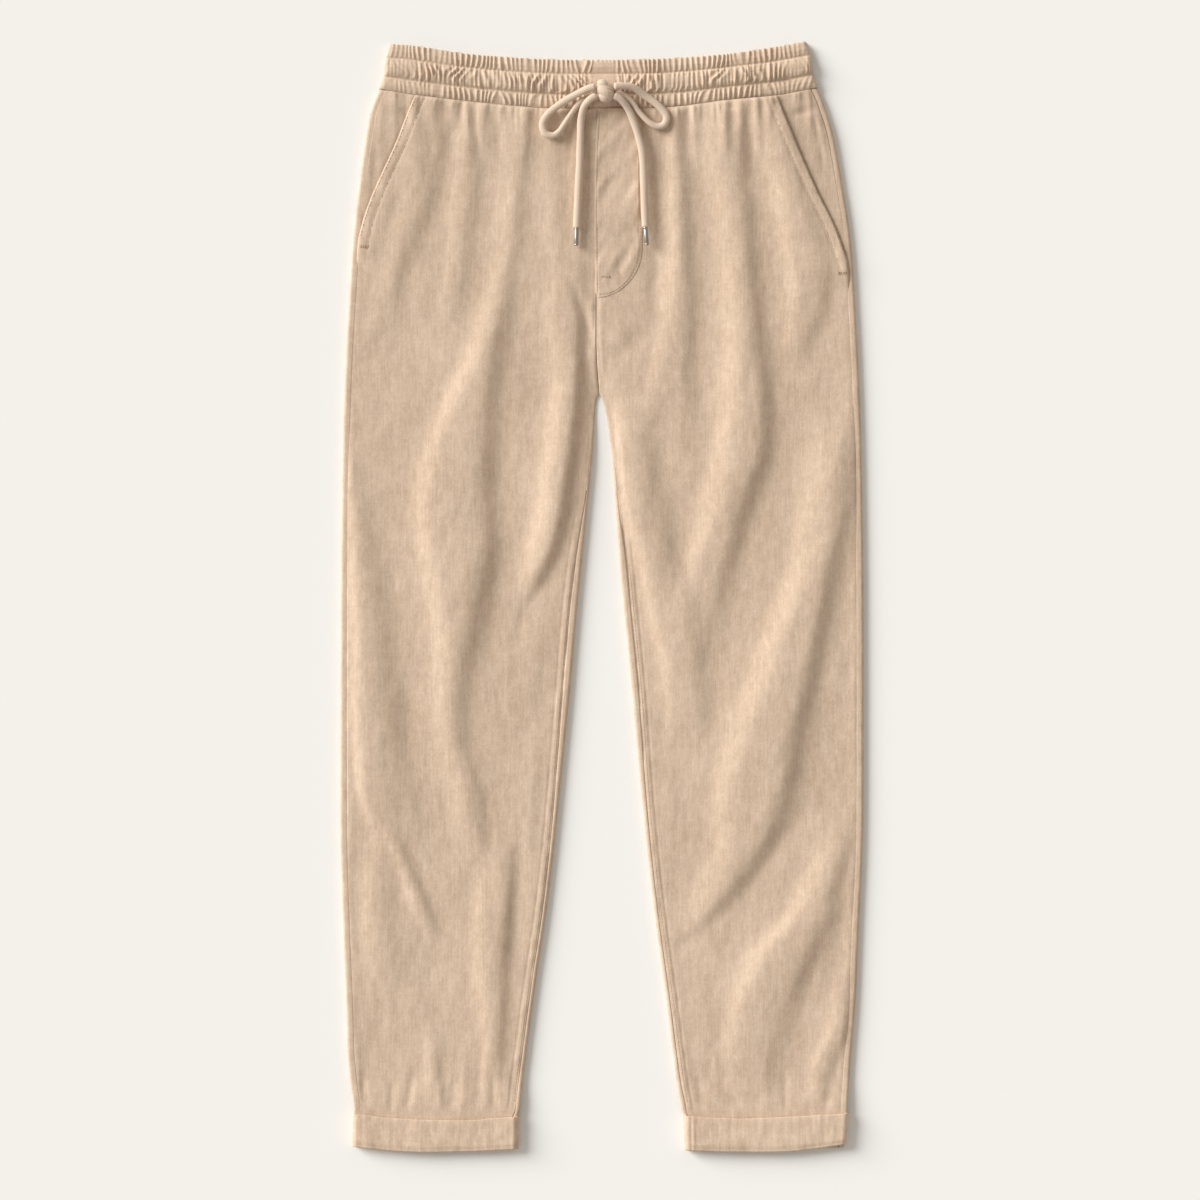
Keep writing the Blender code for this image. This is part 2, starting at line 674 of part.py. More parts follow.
def build_back(side):
    """A back leg, flat on the surface and wrapped round both edges."""
    levels = (GATHERED_ROWS[0], GATHERED_ROWS[-1], *BODY_ROWS)
    outer = np.array([back_section(side, float(level)) for level in levels])
    toward = -1.0 if side == "left" else 1.0
    inner = offset_inward(outer, WALL, toward)
    return add_sheet("back_leg_" + side, list(outer), list(inner), CLOTH_COLOUR)


def build_facing(side):
    """The pocket's side piece, which shows behind the mouth and lies tucked under the front."""
    sign = sign_of(side)
    end = POCKET_ENDS[side] + 6.0
    levels = [GATHERED_ROWS[0], GATHERED_ROWS[-1], *(level for level in BODY_ROWS if level < end - 8.0), end]
    rows = []
    for level in levels:
        edge = float(track(OUTER_EDGES, side, follow_seam(level, sign * 200.0)))
        outer = edge - SIDE_SEAM_INSET - GAP
        mouth = front_start(side, level)
        outward = np.linspace(outer, mouth - FACING_TUCK, 6)
        down = follow_seam(level, sign * outward)
        height = base_height(side, sign * outward, down)
        rows.append(np.stack([sign * outward, down, height], axis=1))
    outer_rows = np.array(rows)
    inner_rows = outer_rows - np.array([0.0, 0.0, WALL])
    return add_sheet("pocket_facing_" + side, list(outer_rows), list(inner_rows), SHADED_CLOTH_COLOUR)


def panel_height(across, down):
    """The height of the fronts at any place between the side seams."""
    middle = track(CENTRE_SEAM, "across", down)
    return np.where(
        across < middle,
        front_height("right", across, down),
        front_height("left", across, down),
    )


def build_fly():
    """The fly's outer layer, lying on the fronts from the centre edge to its J-shaped edge."""
    straight = np.linspace(SEAM_LOWEST + 0.4, FLY_BEND_START, 7)
    bend = np.linspace(0.0, FLY_BEND_END, 7)[1:]
    levels = np.concatenate([straight, FLY_BEND_START + (FLY_BOTTOM - FLY_BEND_START) * np.sin(bend)])
    reach = np.concatenate([np.ones(len(straight)), np.cos(bend)])
    rows = []
    for level, share in zip(levels, reach):
        edge = float(track(FLY_EDGE, "across", level))
        across = np.linspace(edge, edge + share * (FLY_WIDTH_AT - edge), 7)
        down = np.full(7, level)
        rows.append(np.stack([across, down, panel_height(across, down)], axis=1))
    inner = np.array(rows) + np.array([0.0, 0.0, FLY_CLEARANCE])
    outer = inner + np.array([0.0, 0.0, FLY_THICKNESS])
    return add_sheet("fly_placket", list(outer), list(inner), CLOTH_COLOUR)


# Waistband

def band_point(start_line, end_line, share, fraction):
    """Across and down of places on the waistband, at a share of the way between two of its lines."""
    across = -196.0 + 388.0 * fraction
    for _ in range(4):
        start = track(BAND_LINES, start_line, across)
        end = track(BAND_LINES, end_line, across)
        down = start + (end - start) * share
        left = track(BAND_ENDS, "left", down[-1])
        right = track(BAND_ENDS, "right", down[0])
        across = -right + (left + right) * fraction
    return across, down


def band_front_height(across, fraction, height, gather):
    """The puffed casing: gathers of uneven height, plain behind the knot, rounded at the sides."""
    count = len(fraction)
    number = np.arange(count)
    crest = np.where(number % COLUMNS_PER_GATHER == 0, 1.0, -0.5)
    uneven = 0.75 + 0.25 * np.sin(0.9 * number) * np.cos(0.37 * number)
    plain = ease((np.abs(across - 1.5) - 10.0) / 4.0)
    from_end = np.minimum(across - across[0], across[-1] - across)
    round_off = np.sqrt(1.0 - (1.0 - np.clip(from_end / 5.0, 0.0, 1.0)) ** 2)
    low = BACK_BAND_THICKNESS + GAP + 1.0
    return low + (height - low + gather * crest * uneven * plain) * round_off


def build_band_front():
    """The waistband's gathered front over a plain inside."""
    count = BAND_GATHERS * COLUMNS_PER_GATHER + 1
    steps = np.linspace(0.0, 1.0, count)
    fraction = steps + 0.006 * np.sin(9.0 * math.pi * steps) + 0.003 * np.sin(23.0 * math.pi * steps)
    outer = []
    for start_line, end_line, share, height, gather in BAND_SECTIONS:
        across, down = band_point(start_line, end_line, share, fraction)
        if share == 1.0 and end_line == "seam":
            down = down - 0.5 * GAP
        outer.append(np.stack([across, down, band_front_height(across, fraction, height, gather)], axis=1))
    plain = np.linspace(0.0, 1.0, 25)
    inner = []
    for end_line, share in (("upper_row", 0.0), ("seam", 1.0)):
        across, down = band_point("top", end_line, share, plain)
        if end_line == "seam":
            down = down - 0.5 * GAP
        inner.append(np.stack([across, down, np.full(25, BACK_BAND_THICKNESS + GAP)], axis=1))
    return add_sheet("waistband_front", outer, inner, CLOTH_COLOUR)


def build_band_back():
    """The waistband's back, flat on the surface."""
    fraction = np.linspace(0.0, 1.0, 25)
    rows = []
    for end_line, share in (("upper_row", 0.0), ("seam", 1.0)):
        across, down = band_point("top", end_line, share, fraction)
        down = down - BACK_SEAM_CLEARANCE if end_line == "seam" else down - 0.6
        rows.append(np.stack([across, down, np.full(25, BACK_BAND_THICKNESS)], axis=1))
    upper = np.array(rows)
    lower = upper * np.array([1.0, 1.0, 0.0])
    lower[:, 0, 0] += 1.4
    lower[:, -1, 0] -= 1.4
    return add_sheet("waistband_back", list(upper), list(lower), CLOTH_COLOUR)


# Cuffs

CUFFS = {
    "right": table(("edge", "inner", "outer", "inner_third", "outer_third"),
                   [(0, 967.8, 965.2, 971.0, 970.2), (1, 997.4, 995.2, 999.6, 999.8)]),
    "left": table(("edge", "inner", "outer", "inner_third", "outer_third"),
                  [(0, 967.0, 964.8, 969.4, 967.6), (1, 998.6, 992.8, 1000.0, 999.2)]),
}
CUFF_EDGES = {"right": ((74.7, 224.4), (75.0, 225.0)), "left": ((72.9, 222.4), (74.7, 220.6))}
CUFF_HEIGHT = HEM_HEIGHT + 2.0 * CUFF_WALL + 2.0 * (GAP + 0.15)
CUFF_ROWS = (0.0, 0.35, 0.7, 1.0)
CUFF_TOP_COLUMNS = 6


def cuff_ring(side, share, inset):
    """One closed line round the cuff, moved in by the inset."""
    (inner_top, outer_top), (inner_bottom, outer_bottom) = CUFF_EDGES[side]
    inner = inner_top + (inner_bottom - inner_top) * share + inset
    outer = outer_top + (outer_bottom - outer_top) * share - inset
    height = CUFF_HEIGHT - 2.0 * inset
    side_arc = arc(outer, 1.0, height, -90.0, 90.0, 7)
    inner_arc = arc(inner, -1.0, height, 90.0, -90.0, 7)
    top = np.linspace(side_arc[0][-1], inner_arc[0][0], CUFF_TOP_COLUMNS + 2)[1:-1]
    bottom = np.linspace(inner_arc[0][-1], side_arc[0][0], 4)[1:-1]
    outward = np.concatenate([side_arc[0], top, inner_arc[0], bottom])
    level = np.concatenate([side_arc[1], np.full(len(top), height), inner_arc[1], np.zeros(len(bottom))])
    place = np.clip((outward - inner) / (outer - inner), 0.0, 1.0)
    knots = np.array([0.0, 0.33, 0.67, 1.0])
    names = ("inner", "inner_third", "outer_third", "outer")
    top_line = smooth_value(knots, np.array([CUFFS[side][name][0] for name in names]), place)
    bottom_line = smooth_value(knots, np.array([CUFFS[side][name][1] for name in names]), place)
    down = top_line + (bottom_line - top_line) * share
    return np.stack([sign_of(side) * outward, down, level + inset], axis=1)


def build_cuff(side):
    """The turned-up cuff: a flattened ring of doubled cloth round the leg's end."""
    sheet = SheetSolid()
    outer = sheet.add_rows([cuff_ring(side, share, 0.0) for share in CUFF_ROWS])
    inner = sheet.add_rows([cuff_ring(side, share, CUFF_WALL) for share in CUFF_ROWS])
    for rows in (outer, inner):
        for first, second in zip(rows[:-1], rows[1:]):
            sheet.join(first + first[:1], second + second[:1])
    for end in (0, -1):
        sheet.join(outer[end] + outer[end][:1], inner[end] + inner[end][:1])
    return add_solid("cuff_" + side, sheet.points, sheet.faces, CLOTH_COLOUR)


# Drawstring

def band_height(across, down):
    """The height of the waistband's front, with its gathers at their crests."""
    heights = []
    for start_line, end_line, share, height, gather in BAND_SECTIONS:
        start = track(BAND_LINES, start_line, across)
        end = track(BAND_LINES, end_line, across)
        heights.append((start + (end - start) * share, height + gather))
    levels = np.array([pair[0] for pair in heights])
    return float(np.interp(down, levels, np.array([pair[1] for pair in heights])))


def lying_height(across, down):
    """The highest point of the cloth close to a place."""
    highest = 0.0
    for shift_across in (-4.0, -2.0, 0.0, 2.0, 4.0):
        for shift_down in (-4.0, 0.0, 4.0):
            x = across + shift_across
            y = down + shift_down
            if y < float(track(BAND_LINES, "seam", x)):
                highest = max(highest, band_height(x, y))
                continue
            height = float(panel_height(np.array([x]), np.array([y]))[0])
            if PLAIN_FRONT[0] < x < PLAIN_FRONT[1] and y < FLY_BOTTOM:
                height += FLY_CLEARANCE + FLY_THICKNESS
            highest = max(highest, height)
    return highest


def cord_line(route):
    """A smooth line through a cord's own points, lying on the cloth or lifted above it."""
    radius = 0.5 * CORD_DIAMETER
    places = [Vector((x, y, lying_height(x, y) + radius + CORD_CLEARANCE + lift)) for x, y, lift in route]
    dense = [places[0]]
    for k in range(len(places) - 1):
        before = places[max(k - 1, 0)]
        after = places[min(k + 2, len(places) - 1)]
        handle_out = places[k] + (places[k + 1] - before) / 6.0
        handle_in = places[k + 1] - (after - places[k]) / 6.0
        dense.extend(interpolate_bezier(places[k], handle_out, handle_in, places[k + 1], 12)[1:])
    line = np.array([tuple(point) for point in dense])
    length = line_length(line)
    count = max(int(round(length / CORD_STEP)), 4) + 1
    if count < 2.0 * len(route):
        count = int(1.6 * len(route))
    return pick_along(line, np.linspace(0.0, length, count))


def add_tube(name, line, diameter, colour, roughness, metallic=0.0):
    """A round tube with closed ends along a line."""
    curve = bpy.data.curves.new(name, "CURVE")
    curve.dimensions = "3D"
    curve.bevel_depth = 0.5 * diameter * METRE
    curve.bevel_resolution = 2
    curve.use_fill_caps = True
    spline = curve.splines.new("POLY")
    points = to_world(line)
    spline.points.add(len(points) - 1)
    for spot, place in zip(spline.points, points):
        spot.co = (*place.tolist(), 1.0)
    thing = bpy.data.objects.new(name, curve)
    bpy.context.collection.objects.link(thing)
    add_material(thing, colour, roughness, metallic)
    return thing


def build_drawstring():
    """Two bow loops and two free ends, each end with its metal tip."""
    for name, route in CORD_ROUTES.items():
        line = cord_line(route)
        add_tube(name, line, CORD_DIAMETER, CORD_COLOUR, 0.9)
        if "tail" in name:
            side = name.rsplit("_", 1)[1]
            direction = np.array([*TIP_DIRECTIONS[side], 0.0])
            start = line[-1] + direction * GAP
            tip = np.stack([start, start + 0.5 * direction * TIP_LENGTH, start + direction * TIP_LENGTH])
            add_tube("drawstring_tip_" + side, tip, TIP_DIAMETER, METAL_COLOUR, 0.35, 1.0)


def build_knot():
    """The bow's knot, a rounded lump on the waistband."""
    around = 14
    rings = []
    for down, middle, half_width, height in KNOT_SECTIONS:
        angles = np.linspace(0.0, 2.0 * math.pi, around, endpoint=False)
        across = middle + half_width * np.cos(angles)
        level = KNOT_BASE + 0.5 * height * (1.0 + np.sin(angles)) + 0.35 * (12.5 - height)
        rings.append(np.stack([across, np.full(around, down), level], axis=1))
    sheet = SheetSolid()
    rows = sheet.add_rows(rings)
    for first, second in zip(rows[:-1], rows[1:]):
        sheet.join(first + first[:1], second + second[:1])
    sheet.faces.append(tuple(rows[0]))
    sheet.faces.append(tuple(rows[-1]))
    return add_solid("drawstring_knot", sheet.points, sheet.faces, CORD_COLOUR)


def main():
    for thing in list(bpy.data.objects):
        bpy.data.objects.remove(thing, do_unlink=True)
    for side in ("right", "left"):
        build_back(side)
        build_front(side)
        build_facing(side)
        build_cuff(side)
    build_fly()
    build_band_back()
    build_band_front()
    build_knot()
    build_drawstring()


main()
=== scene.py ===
"""Dresses the laid drawstring trousers: linen shells over the solids, gathers, creases, sewing,
cord and metal tips, on a pale floor under soft studio light.

Sizes are in millimetres until the meshes are made. A place on the cloth is given by across (along X)
and down (from the waist's highest point). Left and right are the wearer's.
"""

import math

import bpy
import numpy as np
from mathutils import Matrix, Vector


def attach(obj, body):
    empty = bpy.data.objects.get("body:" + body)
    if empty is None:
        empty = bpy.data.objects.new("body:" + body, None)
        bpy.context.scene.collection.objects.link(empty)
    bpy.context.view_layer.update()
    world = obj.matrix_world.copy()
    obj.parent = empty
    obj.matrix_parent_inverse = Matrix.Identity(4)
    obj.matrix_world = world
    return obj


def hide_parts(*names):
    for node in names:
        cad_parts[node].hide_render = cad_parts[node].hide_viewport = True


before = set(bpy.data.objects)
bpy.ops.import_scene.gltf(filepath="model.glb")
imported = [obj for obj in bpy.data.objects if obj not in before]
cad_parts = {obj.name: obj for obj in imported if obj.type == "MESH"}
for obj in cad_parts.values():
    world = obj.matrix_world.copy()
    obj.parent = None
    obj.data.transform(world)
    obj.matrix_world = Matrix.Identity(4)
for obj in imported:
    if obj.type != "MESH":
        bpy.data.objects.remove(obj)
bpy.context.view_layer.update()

bl_info = {
    "name": "Laid drawstring trousers",
    "version": (1, 0, 0),
    "blender": (4, 5, 0),
    "location": "3D View > Sidebar > Trousers",
    "description": "Builds linen trousers laid flat around their fixed solids",
    "category": "Object",
}

METRE = 0.001
LENGTH = 1000.0

# Heights and levels that the solids share
EDGE_HEIGHT = 5.2
PANEL_HEIGHT = 5.0
WAIST_HEIGHT = 6.8
POCKET_RAISE = 2.0
HEM_HEIGHT = 4.6
EDGE_ROLL = 18.0
SEAM_LOWEST = 60.3
CROTCH = 317.0
ROLL_START = 250.0
SEAM_STRAIGHT = 210.0
LIFT_START = 930.0
CUFF_TOP = 963.0
LEG_END = 996.0
SIDE_SEAM_INSET = 5.5
CUFF_WALL = 2.4
HEM_LIFT = 2.85
SEAM_TUCK = 1.3
SEAM_OVERLAP = 0.9
FOLD_SOFTNESS = 1.4
FOLD_DEPTH = 1.95


def table(names, rows):
    """Columns of a table by name, each as an array."""
    columns = np.array(rows, dtype=float).T
    return dict(zip(names, columns))


# The silhouette's outer edges, as distances from the middle of the garment
OUTER_EDGES = table(
    ("down", "right", "left"),
    [
        (30, 196.5, 189.5),
        (42, 200.5, 194.5),
        (53, 205.0, 199.0),
        (64, 209.0, 202.5),
        (78, 211.5, 207.0),
        (107, 216.0, 213.0),
        (134, 219.5, 217.5),
        (161, 222.5, 222.0),
        (188, 225.0, 225.0),
        (242, 228.5, 228.5),
        (296, 231.5, 231.3),
        (340, 233.0, 233.0),
        (440, 234.8, 235.0),
        (600, 235.8, 235.8),
        (730, 235.6, 234.8),
        (800, 233.5, 231.5),
        (872, 230.5, 228.0),
        (908, 229.5, 225.0),
        (944, 226.0, 222.5),
        (957, 224.0, 221.5),
        (964, 223.4, 221.4),
        (971, 221.6, 219.6),
        (1000, 222.0, 217.8),
    ],
)

# The legs' inner edges below the crotch
INNER_EDGES = table(
    ("down", "right", "left"),
    [
        (317, 2.9, -2.5),
        (323, 5.0, 0.6),
        (332, 6.2, 3.0),
        (350, 7.2, 6.0),
        (368, 8.3, 8.6),
        (404, 11.7, 11.4),
        (440, 15.3, 13.8),
        (512, 22.5, 19.8),
        (584, 28.8, 27.0),
        (656, 36.0, 33.5),
        (728, 43.4, 40.7),
        (800, 52.4, 49.2),
        (836, 58.0, 54.2),
        (872, 63.0, 59.0),
        (908, 67.6, 63.4),
        (944, 72.0, 68.4),
        (957, 73.2, 71.0),
        (964, 74.2, 72.2),
        (971, 77.4, 75.6),
        (1000, 77.6, 77.4),
    ],
)

# The centre front seam
CENTRE_SEAM = table(
    ("down", "across"),
    [(40, -2.0), (106, -3.0), (233, -5.0), (290, -4.6), (317, -2.7)],
)

# How far the inseam lies from the leg's inner edge, along the cloth and over the top
INSEAM = table(
    ("down", "along"),
    [(317, 0.0), (350, 1.8), (400, 4.1), (467, 8.0), (560, 8.6), (700, 6.4), (860, 6.0), (1000, 6.6)],
)

# The slanted pocket mouths, as distances from the middle
POCKET_MOUTHS = table(
    ("down", "right", "left"),
    [
        (43, 164.5, 155.0),
        (50, 168.5, 158.0),
        (62, 174.0, 162.5),
        (91, 185.4, 174.5),
        (116, 197.0, 185.5),
        (138, 207.0, 195.5),
        (165, 216.4, 209.0),
        (191, 222.0, 218.7),
        (230, 230.0, 232.0),
    ],
)
POCKET_ENDS = {"right": 172.0, "left": 196.0}
FACING_TUCK = 12.0

# The waistband's lines across: its top edge, its two rows of stitching and its seam
BAND_LINES = table(
    ("across", "top", "upper_row", "lower_row", "seam"),
    [
        (-200, 2.4, 15.6, 30.2, 43.0),
        (-168, 4.4, 18.6, 35.4, 48.6),
        (-137, 9.4, 21.0, 39.8, 52.2),
        (-94, 13.8, 24.2, 45.2, 56.7),
        (-51, 16.2, 26.6, 48.0, 60.2),
        (0, 17.0, 27.9, 47.6, 60.3),
        (66, 15.2, 25.4, 44.6, 59.0),
        (109, 11.8, 21.4, 41.4, 53.3),
        (159, 4.8, 14.4, 34.6, 48.6),
        (200, -2.4, 7.0, 27.4, 40.4),
    ],
)
BAND_ENDS = table(
    ("down", "right", "left"),
    [(0, 189.6, 182.6), (6, 191.8, 185.4), (14, 194.4, 188.2), (24, 196.0, 189.4), (30, 196.5, 189.8),
     (36, 198.2, 192.2), (42, 200.4, 194.6), (50, 204.0, 198.0)],
)

# The largest folds. Each is a ridge between two flanks, with the flanks' softness in brackets, and
# stations of down, left flank, right flank and height.
RIDGE_COLUMNS = ("down", "from_across", "to_across", "height")
RIDGES = {
    "thigh_right": ((11, 10), [
        (58, -83, -68, 0.6), (143, -87, -73, 1.8), (206, -95, -80, 2.4), (269, -112, -92, 2.8),
        (323, -137, -99, 3.2), (413, -164, -101, 3.6), (467, -159, -99, 3.8), (521, -150, -112, 3.4),
        (629, -144, -125, 2.8), (683, -132, -110, 2.2), (764, -110, -104, 0)]),
    "crotch_right": ((10, 6), [
        (107, -42, -16, 0), (197, -44, -18, 1.0), (260, -46, -19, 1.8), (305, -40, -20, 2.6),
        (350, -46, -23, 3.6), (395, -52, -29, 4.0), (440, -58, -37, 3.8), (467, -65, -46, 3.2),
        (507, -77, -67, 0)]),
    "pocket_right": ((9, 9), [
        (62, -168, -140, 0), (107, -172, -147, 1.2), (143, -177, -156, 1.5), (197, -193, -177, 1.3),
        (270, -210, -193, 0)]),
    "hip_right": ((7, 8), [
        (60, -127, -113, 0.4), (107, -130, -114, 1.4), (161, -134, -116, 1.2), (215, -141, -124, 0.8),
        (260, -148, -134, 0)]),
    "side_right": ((6, 12), [
        (340, -232, -226, 0), (413, -228, -216, 1.6), (467, -225, -207, 2.2), (521, -224, -195, 2.6),
        (575, -223, -191, 2.8), (629, -222, -184, 2.8), (674, -218, -173, 2.2), (710, -208, -160, 1.2),
        (750, -200, -150, 0)]),
    "knee_right": ((5, 5), [
        (705, -200, -191, 0), (733, -187, -176, 1.4), (760, -178, -165, 1.5), (787, -166, -154, 1.2),
        (815, -155, -145, 0)]),
    "shin_right": ((7, 9), [
        (720, -212, -192, 0), (755, -213, -190, 1.4), (791, -212, -189, 1.4), (850, -208, -185, 0.8),
        (905, -205, -187, 0)]),
    "calf_right": ((9, 6), [
        (715, -106, -80, 0), (760, -109, -82, 1.8), (800, -113, -85, 2.2), (863, -110, -88, 2.0),
        (917, -105, -90, 1.4), (955, -103, -90, 0.3)]),
    "ankle_right": ((5, 5), [(880, -160, -146, 0), (917, -158, -146, 1.0), (955, -157, -147, 0.8)]),
    "fly_side_left": ((7, 8), [
        (60, 56, 77, 0.6), (107, 60, 75, 2.0), (161, 62, 77, 2.4), (215, 62, 79, 2.2),
        (260, 56, 80, 1.8), (305, 44, 79, 1.2), (350, 36, 78, 0)]),
    "inner_left": ((7, 12), [
        (320, 8, 40, 0), (350, 12, 42, 1.8), (413, 21, 52, 2.8), (467, 34, 66, 2.8), (512, 43, 79, 2.6),
        (557, 54, 88, 2.2), (602, 59, 93, 1.6), (640, 64, 90, 0)]),
    "thigh_left": ((11, 9), [
        (60, 88, 129, 0.6), (107, 97, 129, 2.2), (161, 108, 133, 2.8), (215, 112, 138, 3.2),
        (269, 115, 143, 3.6), (323, 112, 148, 3.8), (368, 108, 148, 3.8), (404, 99, 136, 3.4),
        (440, 91, 124, 3.0), (467, 79, 116, 2.4), (530, 66, 98, 1.2), (575, 60, 90, 0)]),
    "hip_left": ((8, 10), [
        (60, 149, 169, 0.5), (107, 152, 172, 1.2), (161, 160, 190, 1.8), (206, 169, 202, 2.2),
        (260, 168, 192, 1.6), (300, 165, 175, 0)]),
    "side_left": ((13, 10), [
        (323, 205, 226, 0), (377, 192, 224, 2.0), (431, 183, 219, 3.0), (467, 178, 210, 3.6),
        (503, 165, 203, 4.0), (539, 151, 196, 4.2), (575, 138, 189, 4.2), (611, 124, 180, 4.0),
        (665, 109, 170, 3.6), (719, 108, 154, 3.0), (760, 99, 129, 2.2), (789, 85, 104, 1.2),
        (814, 74, 84, 0)]),
    "shin_left": ((10, 10), [
        (683, 214, 222, 0), (719, 201, 219, 1.4), (755, 187, 215, 2.2), (787, 169, 207, 2.6),
        (818, 142, 195, 2.8), (850, 124, 178, 2.6), (881, 117, 165, 2.2), (917, 115, 158, 1.6),
        (950, 118, 150, 0.5)]),
    "ankle_left": ((6, 6), [
        (836, 214, 224, 0), (872, 208, 222, 1.2), (895, 203, 219, 1.6), (917, 192, 210, 1.4),
        (955, 190, 206, 0.6)]),
}
RIDGES = {name: (softness, table(RIDGE_COLUMNS, rows)) for name, (softness, rows) in RIDGES.items()}


# Small creases: where each starts and ends, its half width, and its height, below 0 for a trough
CREASES = (
    (-24, 224, -10, 268, 3.0, -1.6), (-16, 262, -9, 312, 5.0, -1.5), (12, 262, 26, 280, 4.0, 0.7),
    (48, 79, 48, 240, 5.0, -1.2), (40, 262, 14, 284, 5.5, -1.2), (-114, 60, -112, 104, 3.0, -0.8),
    (-94, 56, -93, 98, 3.0, -0.8), (-46, 100, -42, 190, 6.0, 0.7), (-30, 80, -30, 210, 5.0, -0.6),
    (-152, 70, -158, 118, 4.0, -0.7), (-70, 512, -78, 548, 4.0, -0.8), (-98, 470, -96, 560, 9.0, -0.9),
    (-176, 560, -168, 640, 9.0, -0.9), (-190, 640, -176, 700, 7.0, -0.8), (-150, 790, -160, 850, 16.0, -1.3),
    (-108, 905, -112, 958, 3.0, -0.8), (-124, 925, -124, 960, 3.0, 0.7), (-78, 930, -80, 962, 2.6, -0.9),
    (-98, 936, -98, 962, 2.4, -0.9), (-134, 940, -136, 962, 2.2, -0.7), (-146, 942, -146, 962, 2.4, 0.7),
    (-170, 930, -176, 962, 3.0, -0.9), (-189, 938, -190, 962, 2.6, -0.9), (-216, 936, -216, 962, 2.6, -0.8),
    (-104, 700, -99, 780, 4.0, -0.6), (-74, 735, -80, 835, 4.0, -0.7), (-60, 640, -66, 720, 3.5, 0.5),
    (15, 418, 24, 470, 2.6, -0.9), (24, 470, 21, 500, 2.4, -0.6), (-64, 380, -58, 420, 5.0, 0.5),
    (88, 935, 90, 962, 2.6, -0.9), (104, 935, 122, 955, 3.0, -0.9), (101, 915, 104, 935, 3.2, 0.8),
    (164, 930, 166, 962, 2.6, -0.8), (147, 920, 149, 962, 3.2, 0.7), (205, 930, 203, 962, 2.8, -0.9),
    (186, 690, 156, 724, 6.0, -0.9), (156, 724, 128, 760, 6.0, -1.1), (128, 760, 102, 790, 5.0, -1.1),
    (102, 790, 74, 814, 4.0, -0.9), (222, 740, 210, 774, 5.0, -0.8), (198, 800, 184, 846, 6.0, -0.9),
    (160, 860, 156, 918, 6.0, -0.6), (80, 880, 84, 940, 4.0, -0.5), (132, 66, 134, 108, 3.4, -0.9),
    (78, 60, 75, 108, 3.0, -0.9), (140, 60, 141, 100, 2.6, 0.7), (110, 62, 112, 96, 2.6, 0.6),
    (90, 300, 92, 330, 4.0, -0.4), (58, 318, 46, 350, 7.0, -0.7), (96, 450, 108, 452, 4.0, -0.3),
    (172, 66, 188, 62, 2.4, -1.2), (192, 70, 199, 110, 2.0, -0.7), (-177, 60, -173, 72, 2.4, -1.0),
    (-206, 96, -204, 140, 3.0, -0.6), (60, 660, 66, 700, 4.0, 0.5), (176, 500, 168, 530, 5.0, 0.4),
    (-138, 300, -146, 330, 5.0, -0.5), (-120, 230, -124, 300, 6.0, -0.5), (210, 300, 204, 360, 6.0, -0.6),
    (196, 420, 186, 470, 5.0, -0.4), (-214, 330, -220, 300, 4.0, 0.4), (-226, 560, -214, 600, 4.0, -0.5),
    (120, 560, 112, 620, 5.0, 0.5), (140, 800, 130, 830, 5.0, 0.4), (-200, 850, -196, 900, 4.0, -0.5),
)

# The waistband's profile from top to seam: share of the way down, height
BAND_PROFILE = (
    (0.0, 6.4), (0.04, 7.2), (0.15, 7.9), (0.25, 7.3), (0.285, 6.5), (0.33, 8.2), (0.42, 9.6), (0.5, 9.9),
    (0.6, 9.6), (0.67, 8.4), (0.705, 6.7), (0.75, 7.8), (0.84, 8.5), (0.93, 8.0), (0.985, 6.9), (1.0, 6.5),
)
UPPER_ROW_SHARE = 0.285
LOWER_ROW_SHARE = 0.705

# The fly
FLY_EDGE = table(("down", "across"), [(61, -3.8), (80, -5.2), (106, -6.3), (229, -6.3)])
FLY_WIDTH_AT = 36.5
FLY_BEND_START = 185.0
FLY_BOTTOM = 231.0
FLY_STITCH_INSET = 1.8

# The drawstring's routes from the knot: across, down, and the lift above where it would lie
CORD_ROUTES = {
    "drawstring_loop_right": [
        (-5.6, 43.0, 6.6), (-14.0, 45.2, 5.4), (-27.0, 51.4, 3.0), (-40.0, 59.4, 1.0), (-49.0, 67.0, 0.2),
        (-53.4, 75.4, 0.0), (-51.0, 83.4, 0.0), (-44.0, 85.6, 0.0), (-38.4, 82.0, 0.0),
        (-33.8, 75.4, 0.0), (-28.0, 66.6, 0.0), (-20.6, 56.6, 0.0), (-13.0, 51.0, 0.0), (-6.6, 48.8, 0.0)],
    "drawstring_loop_left": [
        (10.6, 42.8, 6.6), (18.0, 42.2, 5.4), (27.6, 43.2, 3.0), (38.8, 50.4, 1.0), (50.2, 58.6, 0.2),
        (57.6, 67.6, 0.0), (56.4, 75.2, 0.0), (50.0, 77.4, 0.0), (42.0, 73.4, 0.0), (33.0, 64.2, 0.0),
        (27.4, 56.2, 0.0), (20.6, 49.8, 0.0), (12.0, 47.4, 0.0)],
    "drawstring_tail_right": [
        (-4.6, 50.8, 7.0), (-10.6, 54.2, 6.8), (-16.2, 60.6, 3.6), (-18.8, 71.6, 0.6), (-19.4, 86.0, 0.0),
        (-20.0, 109.0, 0.0), (-21.2, 132.0, 0.0), (-22.3, 155.0, 0.0), (-22.9, 169.2, 0.0)],
    "drawstring_tail_left": [
        (10.4, 50.6, 7.0), (17.6, 54.9, 5.6), (25.0, 65.2, 2.0), (31.5, 82.4, 0.2), (36.0, 100.0, 0.0),
        (37.4, 120.4, 0.0), (38.0, 143.4, 0.0), (39.1, 168.7, 0.0)],
}
CORD_DIAMETER = 6.0
CORD_CLEARANCE = 0.8
TIP_LENGTH = 15.0
TIP_DIRECTIONS = {"right": (-0.02, 1.0), "left": (0.08, 1.0)}
CORD_AROUND = 20
CORD_RINGS = 180


